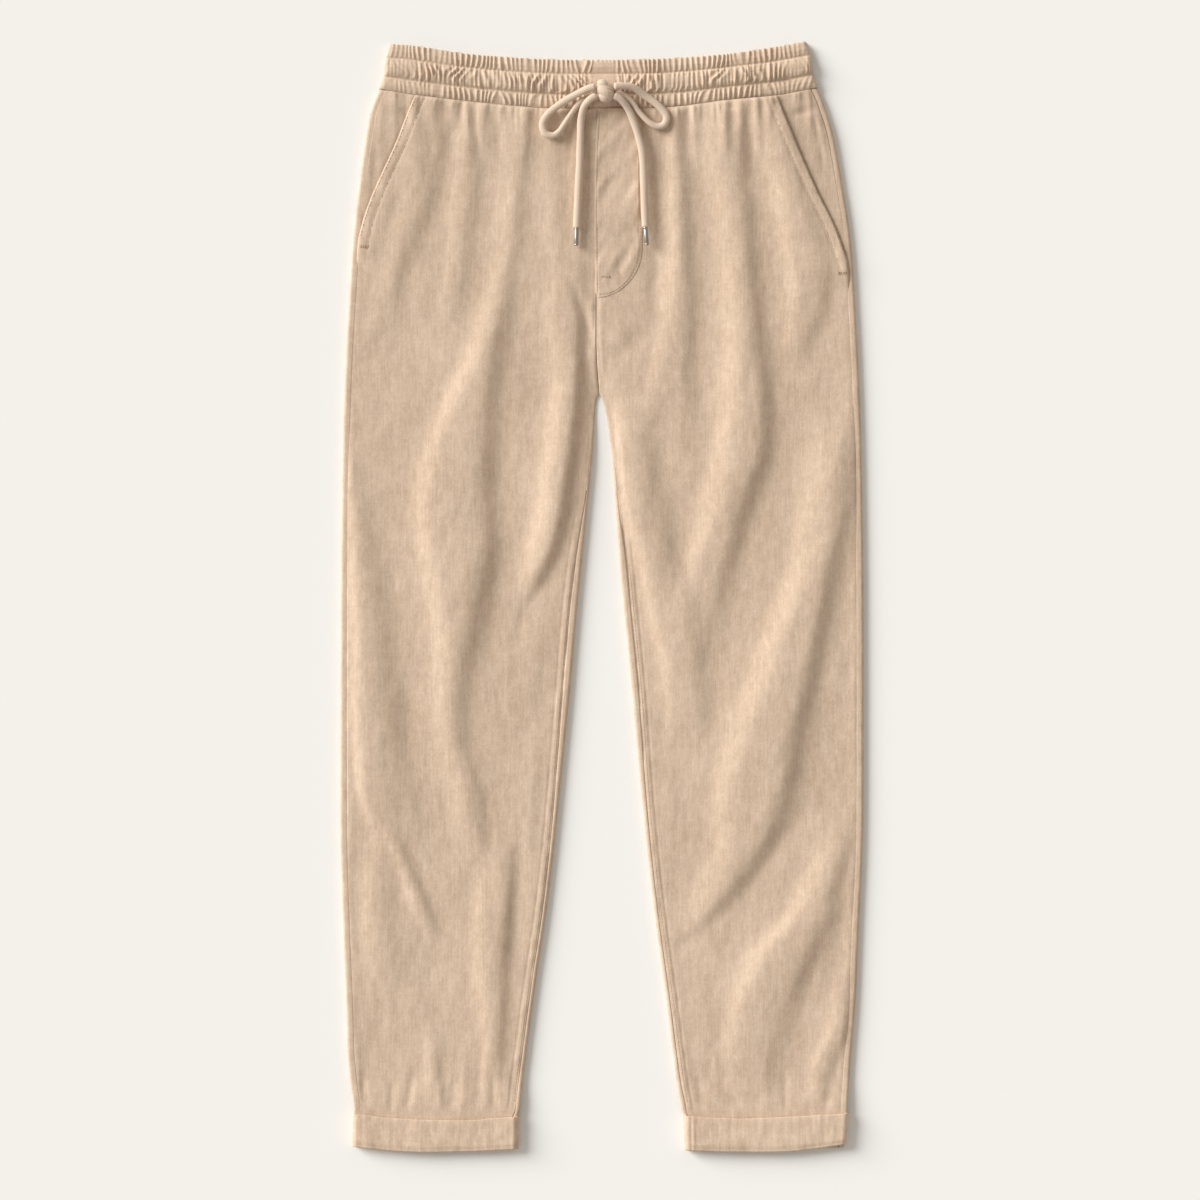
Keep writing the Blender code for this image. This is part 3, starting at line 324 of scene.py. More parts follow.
class TrouserSizes(bpy.types.PropertyGroup):
    """Sizes that a user would change."""

    cloth_thickness: bpy.props.FloatProperty(
        name="Cloth thickness", description="Thickness of one layer of linen", default=0.0009,
        min=0.0003, max=0.002, unit="LENGTH")
    crease_depth: bpy.props.FloatProperty(
        name="Crease depth", description="Strength of the small creases", default=1.0, min=0.0, max=2.0)
    gather_height: bpy.props.FloatProperty(
        name="Gather height", description="Height of the waistband's gathers", default=0.0021,
        min=0.0, max=0.003, unit="LENGTH")
    cord_width: bpy.props.FloatProperty(
        name="Cord width", description="Width of the flattened drawstring", default=0.0066,
        min=0.005, max=0.008, unit="LENGTH")


class TrouserColours(bpy.types.PropertyGroup):
    """Colours that a user would change."""

    linen: bpy.props.FloatVectorProperty(
        name="Linen", description="Colour of the cloth", subtype="COLOR", size=3, min=0, max=1,
        default=(0.640, 0.476, 0.340))
    thread: bpy.props.FloatVectorProperty(
        name="Thread", description="Colour of the sewing thread", subtype="COLOR", size=3, min=0, max=1,
        default=(0.56, 0.42, 0.29))
    cord: bpy.props.FloatVectorProperty(
        name="Cord", description="Colour of the drawstring", subtype="COLOR", size=3, min=0, max=1,
        default=(0.69, 0.535, 0.405))
    metal: bpy.props.FloatVectorProperty(
        name="Metal tips", description="Colour of the cord's tips", subtype="COLOR", size=3, min=0, max=1,
        default=(0.40, 0.37, 0.33))
    floor: bpy.props.FloatVectorProperty(
        name="Floor", description="Colour of the floor", subtype="COLOR", size=3, min=0, max=1,
        default=(0.913, 0.895, 0.857))


def sizes():
    return bpy.context.scene.trouser_sizes


def colours():
    return bpy.context.scene.trouser_colours


# Smooth functions

def ease(share):
    """A smooth step from 0 to 1: three squares less two cubes of the share."""
    share = np.clip(share, 0.0, 1.0)
    return share * share * (3.0 - 2.0 * share)


def smooth_value(stations, values, at):
    """Cubic through the stations, with each slope taken from the neighbouring stations."""
    at = np.clip(at, stations[0], stations[-1])
    slopes = np.gradient(values, stations)
    index = np.clip(np.searchsorted(stations, at, side="right") - 1, 0, len(stations) - 2)
    step = stations[index + 1] - stations[index]
    t = (at - stations[index]) / step
    start = (1.0 + 2.0 * t) * (1.0 - t) ** 2 * values[index] + t * (1.0 - t) ** 2 * step * slopes[index]
    end = t * t * (3.0 - 2.0 * t) * values[index + 1] + t * t * (t - 1.0) * step * slopes[index + 1]
    return start + end


def track(source, column, at):
    """One column of a table, read smoothly at a place along its first column."""
    keys = list(source)
    return smooth_value(source[keys[0]], source[column], np.asarray(at, dtype=float))


def cloud(x, y, cell_x, cell_y, seed):
    """Smooth noise from -1 to 1: random values on a lattice of cells, eased between its corners."""
    values = np.random.default_rng(seed).uniform(-1.0, 1.0, (97, 97))
    u = np.asarray(x, dtype=float) / cell_x + 500.0
    v = np.asarray(y, dtype=float) / cell_y + 500.0
    i = np.floor(u).astype(int)
    j = np.floor(v).astype(int)
    s = ease(u - i)
    t = ease(v - j)
    low = values[i % 97, j % 97] * (1 - s) + values[(i + 1) % 97, j % 97] * s
    high = values[i % 97, (j + 1) % 97] * (1 - s) + values[(i + 1) % 97, (j + 1) % 97] * s
    return low * (1 - t) + high * t


def bell(distance, width):
    """A soft bump: e to the power of minus the squared share of the width."""
    return np.exp(-np.square(distance / width))


def sign_of(side):
    return -1.0 if side == "right" else 1.0


# The cloth's height

def seam_level(across):
    return track(BAND_LINES, "seam", across)


def follow_seam(level, across):
    """The level down of a row that follows the waist seam and straightens lower down."""
    fade = 1.0 - ease((level - SEAM_LOWEST) / (SEAM_STRAIGHT - SEAM_LOWEST))
    return level + (seam_level(across) - SEAM_LOWEST) * fade


def ridge_height(across, down):
    """The sum of the large folds: each rises at one flank and falls at the other by a tanh step."""
    total = np.zeros(np.broadcast(across, down).shape)
    for softness, stations in RIDGES.values():
        inside = (down > stations["down"][0]) & (down < stations["down"][-1])
        height = np.maximum(track(stations, "height", down), 0.0)
        rise = np.tanh(1.6 * (across - track(stations, "from_across", down)) / (FOLD_SOFTNESS * softness[0]))
        fall = np.tanh(1.6 * (across - track(stations, "to_across", down)) / (FOLD_SOFTNESS * softness[1]))
        total = total + np.where(inside, 0.5 * height * (rise - fall), 0.0)
    return FOLD_DEPTH * total * (1.0 - ease((down - 940.0) / 20.0))


def crotch_roll(down):
    return ease((down - ROLL_START) / (CROTCH - ROLL_START))


def leg_edges(side, down):
    """The outward distances of a leg's inner and outer edges, the inner one rolled at the crotch."""
    outer = track(OUTER_EDGES, side, down)
    below = track(INNER_EDGES, side, down)
    middle = sign_of(side) * track(CENTRE_SEAM, "across", down) + 0.15
    above = middle + 0.5 * EDGE_HEIGHT * (np.cos(0.5 * math.pi * (1.0 - crotch_roll(down))) - 1.0)
    return np.where(down < CROTCH, above, below), outer


def base_height(side, across, down):
    """The cloth's height without folds: low at rolled edges, a little higher at the waist."""
    inner, outer = leg_edges(side, down)
    outward = sign_of(side) * across
    waist = 1.0 - ease((down - 70.0) / 60.0)
    middle = PANEL_HEIGHT + (WAIST_HEIGHT - PANEL_HEIGHT) * waist
    edge = EDGE_HEIGHT + 0.6 * waist
    at_side = 1.0 - ease((outer - outward) / EDGE_ROLL)
    at_inseam = (1.0 - ease((outward - inner) / EDGE_ROLL)) * np.where(down < CROTCH, crotch_roll(down), 1.0)
    height = middle + (edge - middle) * np.maximum(at_side, at_inseam)
    hem = ease((down - LIFT_START) / (CUFF_TOP - LIFT_START))
    return height + (HEM_HEIGHT - height) * hem


def hem_lift(down):
    return HEM_LIFT * ease((down - LIFT_START) / (CUFF_TOP - LIFT_START))


def crease_height(across, down):
    """Small creases: a bell across each short line, easing out at both of its ends."""
    total = np.zeros(np.broadcast(across, down).shape)
    for x0, d0, x1, d1, width, height in CREASES:
        run = math.hypot(x1 - x0, d1 - d0)
        along = ((across - x0) * (x1 - x0) + (down - d0) * (d1 - d0)) / run
        aside = ((across - x0) * (d1 - d0) - (down - d0) * (x1 - x0)) / run
        lengthwise = ease((along + 0.35 * run) / (0.6 * run)) * (1.0 - ease((along - 0.75 * run) / (0.6 * run)))
        total = total + height * bell(aside, 1.5 * width) * lengthwise
    return total * sizes().crease_depth


def gather_height(across, down):
    """Gathers below the waist seam: two rows of uneven cosine waves that fade out downward."""
    below = down - seam_level(across)
    wide_phase = across / 17.0 + 0.5 * cloud(across, 0.0, 22.0, 1.0, 3)
    fine_phase = across / 7.5 + 0.6 * cloud(across, 0.0, 9.0, 1.0, 4)
    reach = 60.0 + 32.0 * cloud(across, 0.0, 15.0, 1.0, 5)
    wide = (0.5 + 0.5 * np.cos(2.0 * math.pi * wide_phase)) ** 1.3 * (1.0 - ease(below / reach))
    fine = (0.5 + 0.5 * np.cos(2.0 * math.pi * fine_phase)) * (1.0 - ease(below / (0.35 * reach)))
    plain = ease((-8.0 - across) / 8.0) + ease((across - 38.0) / 8.0)
    return (1.6 * wide + 0.8 * fine) * plain * ease(below / 3.0 + 0.35)


def pocket_raise(side, across, down):
    """How far the front is raised to lie on the pocket's facing."""
    outward = sign_of(side) * across
    mouth = track(POCKET_MOUTHS, side, down)
    near_mouth = 1.0 - ease((mouth - FACING_TUCK - 3.0 - outward) / 35.0)
    return POCKET_RAISE * near_mouth * (1.0 - ease((down - POCKET_ENDS[side] - 4.0) / 30.0))


def seam_relief(distance, along, hem_width, pucker):
    """A topstitched hem: a rounded edge, a groove at the stitches and small puckers across both."""
    groove = -0.55 * bell(distance - hem_width, 1.3)
    puckers = 0.5 + 0.5 * np.cos(2.0 * math.pi * (along / 6.4 + 0.5 * cloud(along, 0.0, 13.0, 1.0, 9)))
    band = bell(distance - 0.55 * hem_width, 0.75 * hem_width)
    edge = -0.5 * bell(distance, 0.9)
    return groove + edge + band * (0.25 + pucker * (puckers - 0.5))


def pocket_relief(side, across, down):
    """The pocket mouth's turned edge with its topstitching."""
    outward = sign_of(side) * across
    mouth = track(POCKET_MOUTHS, side, down)
    distance = (mouth - outward) * 0.91
    reach = 1.0 - ease((down - POCKET_ENDS[side] - 12.0) / 14.0)
    return seam_relief(distance, down, 8.6, 0.7) * reach * (distance > -1.0)


def inseam_relief(side, across, down):
    """The inseam's ridge of layers beside its seam on top of the leg's inner edge."""
    inner = leg_edges(side, down)[0]
    outward = sign_of(side) * across
    along = track(INSEAM, "along", down)
    distance = outward - inner - 0.5 * EDGE_HEIGHT - (along - 0.25 * math.pi * EDGE_HEIGHT)
    puckers = cloud(down, 0.0, 5.0, 1.0, 31 if side == "left" else 32)
    show = ease((down - 400.0) / 60.0)
    groove = 0.4 * bell(distance - 5.6, 1.0) + 0.5 * bell(distance + SEAM_OVERLAP, 1.4)
    return show * ((0.25 + 0.3 * puckers) * bell(distance - 3.0, 2.6) - groove)


def side_seam_relief(side, across, down):
    """The side seam's soft edge where the front meets the wrapped back."""
    outer = leg_edges(side, down)[1]
    distance = outer - SIDE_SEAM_INSET - sign_of(side) * across
    puckers = cloud(down, 0.0, 6.0, 1.0, 41 if side == "left" else 42)
    return (0.2 * puckers + 0.1) * bell(distance - 4.0, 2.4) - 0.5 * bell(distance + SEAM_OVERLAP, 1.4)


def centre_relief(across, down):
    """The centre seam below the fly, a groove with soft puckers beside it."""
    middle = track(CENTRE_SEAM, "across", down)
    show = ease((down - 222.0) / 14.0) * (1.0 - ease((down - CROTCH) / 6.0))
    puckers = cloud(down, across, 7.0, 14.0, 51)
    groove = -1.3 * bell(across - middle, 1.8 + 2.0 * ease((down - 270.0) / 45.0))
    return show * (groove + (0.45 + 0.5 * puckers) * bell(np.abs(across - middle) - 4.0, 3.0))


def wear(across, down):
    """The washed cloth's uneven lie, in three sizes of cloud."""
    large = 0.65 * cloud(across, down, 34.0, 70.0, 11)
    middle = 0.32 * cloud(across + 0.2 * down, down, 13.0, 30.0, 12)
    small = 0.09 * cloud(across, down, 4.5, 7.0, 13)
    return large + middle + small


def front_height(side, across, down):
    """The height of a front's outer face above the leg's own back."""
    inner, outer = leg_edges(side, down)
    outward = sign_of(side) * across
    clear = ease((outer - outward) / 12.0) * np.where(down < CROTCH, 1.0, ease((outward - inner) / 10.0))
    hem = 1.0 - ease((down - CUFF_TOP + 6.0) / 8.0)
    near = ease((outer - SIDE_SEAM_INSET - outward) / 8.0) * np.where(down < CROTCH, 1.0, ease((outward - inner) / 6.0))
    folds = ridge_height(across, down) * clear + (crease_height(across, down) + wear(across, down)) * near
    sewing = pocket_relief(side, across, down) + inseam_relief(side, across, down)
    sewing = sewing + side_seam_relief(side, across, down) + centre_relief(across, down)
    height = base_height(side, across, down) + pocket_raise(side, across, down)
    return height + gather_height(across, down) + (folds + sewing) * hem


def panel_height(across, down):
    """The height of the fronts at any place between the side seams."""
    middle = track(CENTRE_SEAM, "across", down)
    right = front_height("right", across, down)
    left = front_height("left", across, down)
    share = ease((across - middle) / 2.0 + 0.5)
    return right + (left - right) * share


# Meshes

def to_world(points):
    """Across, down and height to metres along X, Y and Z."""
    points = np.asarray(points, dtype=float)
    return np.stack([points[..., 0], 0.5 * LENGTH - points[..., 1], points[..., 2]], axis=-1) * METRE


def grid_faces(rows, columns, flip=False, closed=False):
    """Four-sided faces between neighbouring rows and columns, the last column joined to the first."""
    numbers = np.arange(rows * columns).reshape(rows, columns)
    if closed:
        numbers = np.concatenate([numbers, numbers[:, :1]], axis=1)
    corners = [numbers[:-1, :-1], numbers[:-1, 1:], numbers[1:, 1:], numbers[1:, :-1]]
    if flip:
        corners.reverse()
    return np.stack(corners, axis=-1).reshape(-1, 4)


def new_piece(name, points, faces, material, node, smooth=True):
    """A mesh object from points in millimetres, riding on the garment in a node's place."""
    mesh = bpy.data.meshes.new(name)
    mesh.from_pydata(to_world(points).reshape(-1, 3).tolist(), [], faces.tolist())
    mesh.update()
    if smooth:
        mesh.shade_smooth()
    mesh.materials.append(material)
    piece = bpy.data.objects.new(name, mesh)
    bpy.context.collection.objects.link(piece)
    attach(piece, "root")
    if node:
        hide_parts(node)
    return piece


def thicken(piece, thickness):
    """A wall of cloth below the modelled face."""
    wall = piece.modifiers.new("wall", "SOLIDIFY")
    wall.thickness = thickness
    wall.offset = -1.0
    wall.use_rim = True


def round_place(distance, edge, height):
    """A place on a leg's rolled edge by its distance along the cloth from the edge's furthest point,
    positive over the top: a half circle, and flat beyond a quarter turn each way."""
    radius = 0.5 * height
    quarter = 0.5 * math.pi * radius
    angle = np.clip(distance / quarter, -1.0, 1.0) * 0.5 * math.pi
    beyond = np.maximum(np.abs(distance) - quarter, 0.0)
    return edge + radius * (1.0 - np.cos(angle)) + beyond, radius * (1.0 + np.sin(angle))


def crotch_sink(down, from_edge):
    """How far the cloth dips toward the crotch: a bell down the seam times a bell away from it."""
    return 3.0 * bell(down - CROTCH - 3.0, 38.0) * bell(np.maximum(from_edge, 0.0), 13.0)


def seam_along(down):
    """How far past the inner edge the front ends: on top above the fly, at the edge at the crotch."""
    quarter = 0.25 * math.pi * EDGE_HEIGHT
    above = quarter * (1.0 - crotch_roll(down))
    return np.where(down < CROTCH, above, track(INSEAM, "along", down))


def front_grid(side, rows=300, columns=148, near=12):
    """A front's outer face: rows down the leg, columns by distance from the inner end, 1 mm apart
    near that end and evenly spread to the pocket mouth or the side seam."""
    sign = sign_of(side)
    levels = np.linspace(SEAM_LOWEST, LEG_END, rows)[:, None]
    count = np.arange(columns)[None, :]
    inner = leg_edges(side, levels)[0]
    end_height = base_height(side, sign * (inner + 0.5 * EDGE_HEIGHT), levels)
    end_along = seam_along(levels) - SEAM_OVERLAP * ease((levels - CROTCH - 60.0) / 40.0)
    limit = np.full_like(levels, 150.0)
    for _ in range(4):
        down = follow_seam(levels, sign * limit)
        mouth = track(POCKET_MOUTHS, side, down)
        limit = np.minimum(mouth, track(OUTER_EDGES, side, down) - SIDE_SEAM_INSET + SEAM_OVERLAP)
    full = limit - inner - 0.5 * end_height - (end_along - 0.25 * math.pi * end_height)
    spread = near + (full - near) * (count - near) / (columns - 1 - near)
    distance = end_along + np.where(count < near, count * 1.0, spread)
    outward, rolled = round_place(distance, inner, end_height)
    across = sign * outward
    down = follow_seam(levels, across)
    height = front_height(side, across, down)
    quarter = 0.25 * math.pi * end_height
    on_roll = ease((distance - quarter) / 3.0)
    height = np.where(distance < quarter, rolled, rolled + (height - rolled) * on_roll)
    height = height - crotch_sink(down, outward - inner) * np.minimum(height / end_height, 1.0)
    return np.stack([across, down, height + hem_lift(down)], axis=-1)


def back_grid(side, rows=300):
    """A back's outer face: from the side seam on top, round the side in a half circle, along the
    surface and up the inner edge to the inseam."""
    sign = sign_of(side)
    levels = np.linspace(SEAM_LOWEST, LEG_END, rows)[:, None]
    down = follow_seam(levels, sign * 205.0)
    outer = track(OUTER_EDGES, side, down)
    height = base_height(side, sign * outer, down)
    quarter = 0.25 * math.pi * height
    start = quarter + SIDE_SEAM_INSET - 0.5 * height + 3.4
    steps = np.linspace(0.0, 1.0, 26)[None, :]
    side_distance = start + (-quarter - 8.0 - start) * steps
    side_out, side_up = round_place(side_distance, -outer, height)
    side_up = side_up - SEAM_TUCK * ease((side_distance - start + 3.2) / 2.6)
    inner = leg_edges(side, levels)[0]
    inner_height = base_height(side, sign * inner, levels)
    inner_quarter = 0.25 * math.pi * inner_height
    along = np.where(levels < CROTCH, -seam_along(levels), seam_along(levels))
    inner_distance = along - (along + inner_quarter + 8.0) * (1.0 - steps)
    inner_out, inner_up = round_place(inner_distance, inner, inner_height)
    inner_up = inner_up * (1.0 - crotch_sink(levels, inner_out - inner) / inner_height)
    inner_up = inner_up - SEAM_TUCK * ease((inner_distance - along + 1.4) / 1.2) * (levels > CROTCH + 90.0)
    flat = -side_out[:, -1:] + (inner_out[:, :1] + side_out[:, -1:]) * np.linspace(0.0, 1.0, 22)[None, 1:-1]
    outward = np.concatenate([-side_out, flat, inner_out], axis=1)
    up = np.concatenate([side_up, np.zeros_like(flat), inner_up], axis=1)
    across = sign * outward
    downs = follow_seam(levels + 0.0 * across, across)
    return np.stack([across, downs, up + hem_lift(downs)], axis=-1)


# Shader groups

def new_group(name, inputs, outputs):
    """An empty node group with the given sockets."""
    group = bpy.data.node_groups.new(name, "ShaderNodeTree")
    for socket_name, kind, value in inputs:
        socket = group.interface.new_socket(socket_name, in_out="INPUT", socket_type=kind)
        if value is not None:
            socket.default_value = value
    for socket_name, kind in outputs:
        group.interface.new_socket(socket_name, in_out="OUTPUT", socket_type=kind)
    start = group.nodes.new("NodeGroupInput")
    end = group.nodes.new("NodeGroupOutput")
    return group, start, end


def math_node(tree, operation, first, second=None, clamp=False):
    """A Math node fed by sockets or numbers."""
    node = tree.nodes.new("ShaderNodeMath")
    node.operation = operation
    node.use_clamp = clamp
    for slot, value in ((0, first), (1, second)):
        if value is None:
            continue
        if isinstance(value, (int, float)):
            node.inputs[slot].default_value = value
        else:
            tree.links.new(value, node.inputs[slot])
    return node.outputs[0]


def noise_node(tree, vector, scale, stretch=(1.0, 1.0, 1.0), detail=3.0, roughness=0.55):
    """A noise texture on a stretched copy of the coordinates."""
    mapping = tree.nodes.new("ShaderNodeMapping")
    mapping.inputs["Scale"].default_value = stretch
    tree.links.new(vector, mapping.inputs["Vector"])
    noise = tree.nodes.new("ShaderNodeTexNoise")
    noise.inputs["Scale"].default_value = scale
    noise.inputs["Detail"].default_value = detail
    noise.inputs["Roughness"].default_value = roughness
    tree.links.new(mapping.outputs["Vector"], noise.inputs["Vector"])
    return noise.outputs["Fac"]


def linen_group():
    """Plain-weave linen: threads both ways with thick slubs, mottled by washing, and stray fibres."""
    if "linen weave" in bpy.data.node_groups:
        return bpy.data.node_groups["linen weave"]
    group, start, end = new_group(
        "linen weave",
        [("Vector", "NodeSocketVector", None), ("Thread pitch", "NodeSocketFloat", 0.0009)],
        [("Shade", "NodeSocketFloat"), ("Height", "NodeSocketFloat")])
    links = group.links
    vector = start.outputs["Vector"]
    split = group.nodes.new("ShaderNodeSeparateXYZ")
    links.new(vector, split.inputs[0])
    wobble = noise_node(group, vector, 60.0, detail=2.0)
    turns = math_node(group, "DIVIDE", 6.2832, start.outputs["Thread pitch"])
    threads = []
    for axis in ("X", "Y"):
        place = math_node(group, "MULTIPLY", split.outputs[axis], turns)
        bent = math_node(group, "ADD", place, math_node(group, "MULTIPLY", wobble, 9.0))
        threads.append(math_node(group, "SINE", bent))
    weave = math_node(group, "MULTIPLY", threads[0], threads[1])
    slub_down = noise_node(group, vector, 1.0, (820.0, 42.0, 55.0), 2.0)
    slub_across = noise_node(group, vector, 1.0, (60.0, 900.0, 70.0), 2.0)
    mottle = noise_node(group, vector, 110.0, (1.5, 0.8, 1.0), 5.0, 0.65)
    wash = noise_node(group, vector, 11.0, (1.5, 0.7, 1.0), 3.0, 0.5)
    fibre = noise_node(group, vector, 260.0, (1.2, 0.8, 1.0), 2.0)
    fibre_line = math_node(group, "ABSOLUTE", math_node(group, "SUBTRACT", fibre, 0.5))
    fibre_line = math_node(group, "SUBTRACT", 1.0, math_node(group, "MULTIPLY", fibre_line, 18.0), True)
    slubs = math_node(group, "ADD", math_node(group, "MULTIPLY", slub_down, 0.78),
                      math_node(group, "MULTIPLY", slub_across, 0.22))
    shade = math_node(group, "MULTIPLY", math_node(group, "SUBTRACT", slubs, 0.5), 0.5)
    shade = math_node(group, "ADD", shade, math_node(
        group, "MULTIPLY", math_node(group, "SUBTRACT", mottle, 0.5), 0.60))
    shade = math_node(group, "ADD", shade, math_node(
        group, "MULTIPLY", math_node(group, "SUBTRACT", wash, 0.5), 0.35))
    shade = math_node(group, "ADD", shade, math_node(group, "MULTIPLY", weave, 0.03))
    shade = math_node(group, "ADD", shade, math_node(group, "MULTIPLY", fibre_line, 0.13))
    shade = math_node(group, "ADD", shade, 0.5, True)
    height = math_node(group, "ADD", math_node(group, "MULTIPLY", weave, 0.25),
                       math_node(group, "MULTIPLY", slubs, 1.0))
    links.new(shade, end.inputs["Shade"])
    links.new(height, end.inputs["Height"])
    return group


def linen_material(name, shade=1.0, bump=0.35):
    """Washed linen: the cloth's colour lighter and darker with its slubs, matt with a little fuzz. A shade factor below
    1 makes a darker copy as painted shade, above 1 a lighter copy as painted light.
    """
    if name in bpy.data.materials:
        return bpy.data.materials[name]
    material = bpy.data.materials.new(name)
    material.use_nodes = True
    tree = material.node_tree
    surface = tree.nodes["Principled BSDF"]
    place = tree.nodes.new("ShaderNodeTexCoord")
    weave = tree.nodes.new("ShaderNodeGroup")
    weave.node_tree = linen_group()
    tree.links.new(place.outputs["Object"], weave.inputs["Vector"])
    ramp = tree.nodes.new("ShaderNodeValToRGB")
    # The shade factor scales the whole colour: below 1 it is painted shade, above 1 painted light.
    red, green, blue = (value * shade for value in colours().linen)
    ramp.color_ramp.elements[0].position = 0.18
    ramp.color_ramp.elements[0].color = (red * 0.74, green * 0.70, blue * 0.66, 1.0)
    ramp.color_ramp.elements[1].position = 0.82
    ramp.color_ramp.elements[1].color = (min(red * 1.22, 1), min(green * 1.26, 1), min(blue * 1.32, 1), 1.0)
    tree.links.new(weave.outputs["Shade"], ramp.inputs["Fac"])
    tree.links.new(ramp.outputs["Color"], surface.inputs["Base Color"])
    relief = tree.nodes.new("ShaderNodeBump")
    relief.inputs["Strength"].default_value = bump
    relief.inputs["Distance"].default_value = 0.0004
    tree.links.new(weave.outputs["Height"], relief.inputs["Height"])
    tree.links.new(relief.outputs["Normal"], surface.inputs["Normal"])
    surface.inputs["Roughness"].default_value = 0.92
    surface.inputs["Specular IOR Level"].default_value = 0.2
    surface.inputs["Sheen Weight"].default_value = 0.12
    surface.inputs["Sheen Roughness"].default_value = 0.6
    return material


def cord_material():
    """Knitted cord: a fine net of slanted stitches in the piece's own UV map."""
    if "soft_cord" in bpy.data.materials:
        return bpy.data.materials["soft_cord"]
    material = bpy.data.materials.new("soft_cord")
    material.use_nodes = True
    tree = material.node_tree
    surface = tree.nodes["Principled BSDF"]
    place = tree.nodes.new("ShaderNodeUVMap")
    place.uv_map = "along_cord"
    split = tree.nodes.new("ShaderNodeSeparateXYZ")
    tree.links.new(place.outputs["UV"], split.inputs[0])
    waves = []
    for direction in (1.0, -1.0):
        lean = math_node(tree, "MULTIPLY", split.outputs["X"], direction * 8.0 * 6.2832)
        run = math_node(tree, "MULTIPLY", split.outputs["Y"], 6.2832 / 0.0024)
        waves.append(math_node(tree, "SINE", math_node(tree, "ADD", lean, run)))
    knit = math_node(tree, "MAXIMUM", waves[0], waves[1])
    object_place = tree.nodes.new("ShaderNodeTexCoord")
    fuzz = noise_node(tree, object_place.outputs["Object"], 900.0, detail=3.0)
    height = math_node(tree, "ADD", math_node(tree, "MULTIPLY", knit, 0.5), fuzz)
    ramp = tree.nodes.new("ShaderNodeValToRGB")
    red, green, blue = colours().cord
    ramp.color_ramp.elements[0].position = 0.1
    ramp.color_ramp.elements[0].color = (red * 0.86, green * 0.84, blue * 0.82, 1.0)
    ramp.color_ramp.elements[1].position = 1.0
    ramp.color_ramp.elements[1].color = (min(red * 1.08, 1), min(green * 1.10, 1), min(blue * 1.12, 1), 1.0)
    tree.links.new(height, ramp.inputs["Fac"])
    tree.links.new(ramp.outputs["Color"], surface.inputs["Base Color"])
    relief = tree.nodes.new("ShaderNodeBump")
    relief.inputs["Strength"].default_value = 0.4
    relief.inputs["Distance"].default_value = 0.0004
    tree.links.new(height, relief.inputs["Height"])
    tree.links.new(relief.outputs["Normal"], surface.inputs["Normal"])
    surface.inputs["Roughness"].default_value = 0.9
    surface.inputs["Sheen Weight"].default_value = 0.2
    return material


def metal_material():
    """Satin nickel with faint turning lines."""
    if "satin_nickel" in bpy.data.materials:
        return bpy.data.materials["satin_nickel"]
    material = bpy.data.materials.new("satin_nickel")
    material.use_nodes = True
    tree = material.node_tree
    surface = tree.nodes["Principled BSDF"]
    place = tree.nodes.new("ShaderNodeTexCoord")
    lines = noise_node(tree, place.outputs["Object"], 1.0, (300.0, 9000.0, 300.0), 2.0)
    rough = math_node(tree, "ADD", math_node(tree, "MULTIPLY", lines, 0.25), 0.3)
    tree.links.new(rough, surface.inputs["Roughness"])
    surface.inputs["Base Color"].default_value = (*colours().metal, 1.0)
    surface.inputs["Metallic"].default_value = 1.0
    return material


def thread_material():
    """Sewing thread with its own fine twist."""
    if "sewing_thread" in bpy.data.materials:
        return bpy.data.materials["sewing_thread"]
    material = bpy.data.materials.new("sewing_thread")
    material.use_nodes = True
    tree = material.node_tree
    surface = tree.nodes["Principled BSDF"]
    place = tree.nodes.new("ShaderNodeTexCoord")
    twist = noise_node(tree, place.outputs["Object"], 1500.0, detail=2.0)
    ramp = tree.nodes.new("ShaderNodeValToRGB")
    red, green, blue = colours().thread
    ramp.color_ramp.elements[0].color = (red * 0.8, green * 0.8, blue * 0.8, 1.0)
    ramp.color_ramp.elements[1].color = (min(red * 1.15, 1), min(green * 1.15, 1), min(blue * 1.15, 1), 1.0)
    tree.links.new(twist, ramp.inputs["Fac"])
    tree.links.new(ramp.outputs["Color"], surface.inputs["Base Color"])
    surface.inputs["Roughness"].default_value = 0.75
    return material


# Pieces

class TROUSERS_OT_stage(bpy.types.Operator):
    """Adds the pale floor, the soft lights and the camera straight above"""

    bl_idname = "trousers.stage"
    bl_label = "Stage"

    def execute(self, context):
        floor_mesh = bpy.data.meshes.new("floor")
        half = 30.0
        corners = [(-half, -half, 0.0), (half, -half, 0.0), (half, half, 0.0), (-half, half, 0.0)]
        floor_mesh.from_pydata(corners, [], [(0, 1, 2, 3)])
        floor = bpy.data.objects.new("floor", floor_mesh)
        context.collection.objects.link(floor)
        paint = bpy.data.materials.new("floor_paper")
        paint.use_nodes = True
        surface = paint.node_tree.nodes["Principled BSDF"]
        surface.inputs["Base Color"].default_value = (*colours().floor, 1.0)
        surface.inputs["Roughness"].default_value = 1.0
        surface.inputs["Specular IOR Level"].default_value = 0.0
        floor_mesh.materials.append(paint)

        camera_data = bpy.data.cameras.new("camera")
        camera_data.lens = 100.0
        camera_data.sensor_width = 36.0
        camera = bpy.data.objects.new("camera", camera_data)
        camera.location = (-0.0018, -0.00315, 3.008)
        context.collection.objects.link(camera)
        context.scene.camera = camera

        key = bpy.data.lights.new("key", "SUN")
        key.energy = 4.3
        key.angle = math.radians(34.0)
        key.color = (0.975, 0.99, 1.0)
        holder = bpy.data.objects.new("key", key)
        holder.rotation_euler = Vector((0.80, -0.42, -0.40)).to_track_quat("-Z", "Y").to_euler()
        context.collection.objects.link(holder)
        world = bpy.data.worlds.new("soft_surround")
        world.use_nodes = True
        background = world.node_tree.nodes["Background"]
        background.inputs["Color"].default_value = (1.0, 0.965, 0.915, 1.0)
        background.inputs["Strength"].default_value = 0.45
        context.scene.world = world
        context.scene.view_settings.view_transform = "Standard"
        return {"FINISHED"}


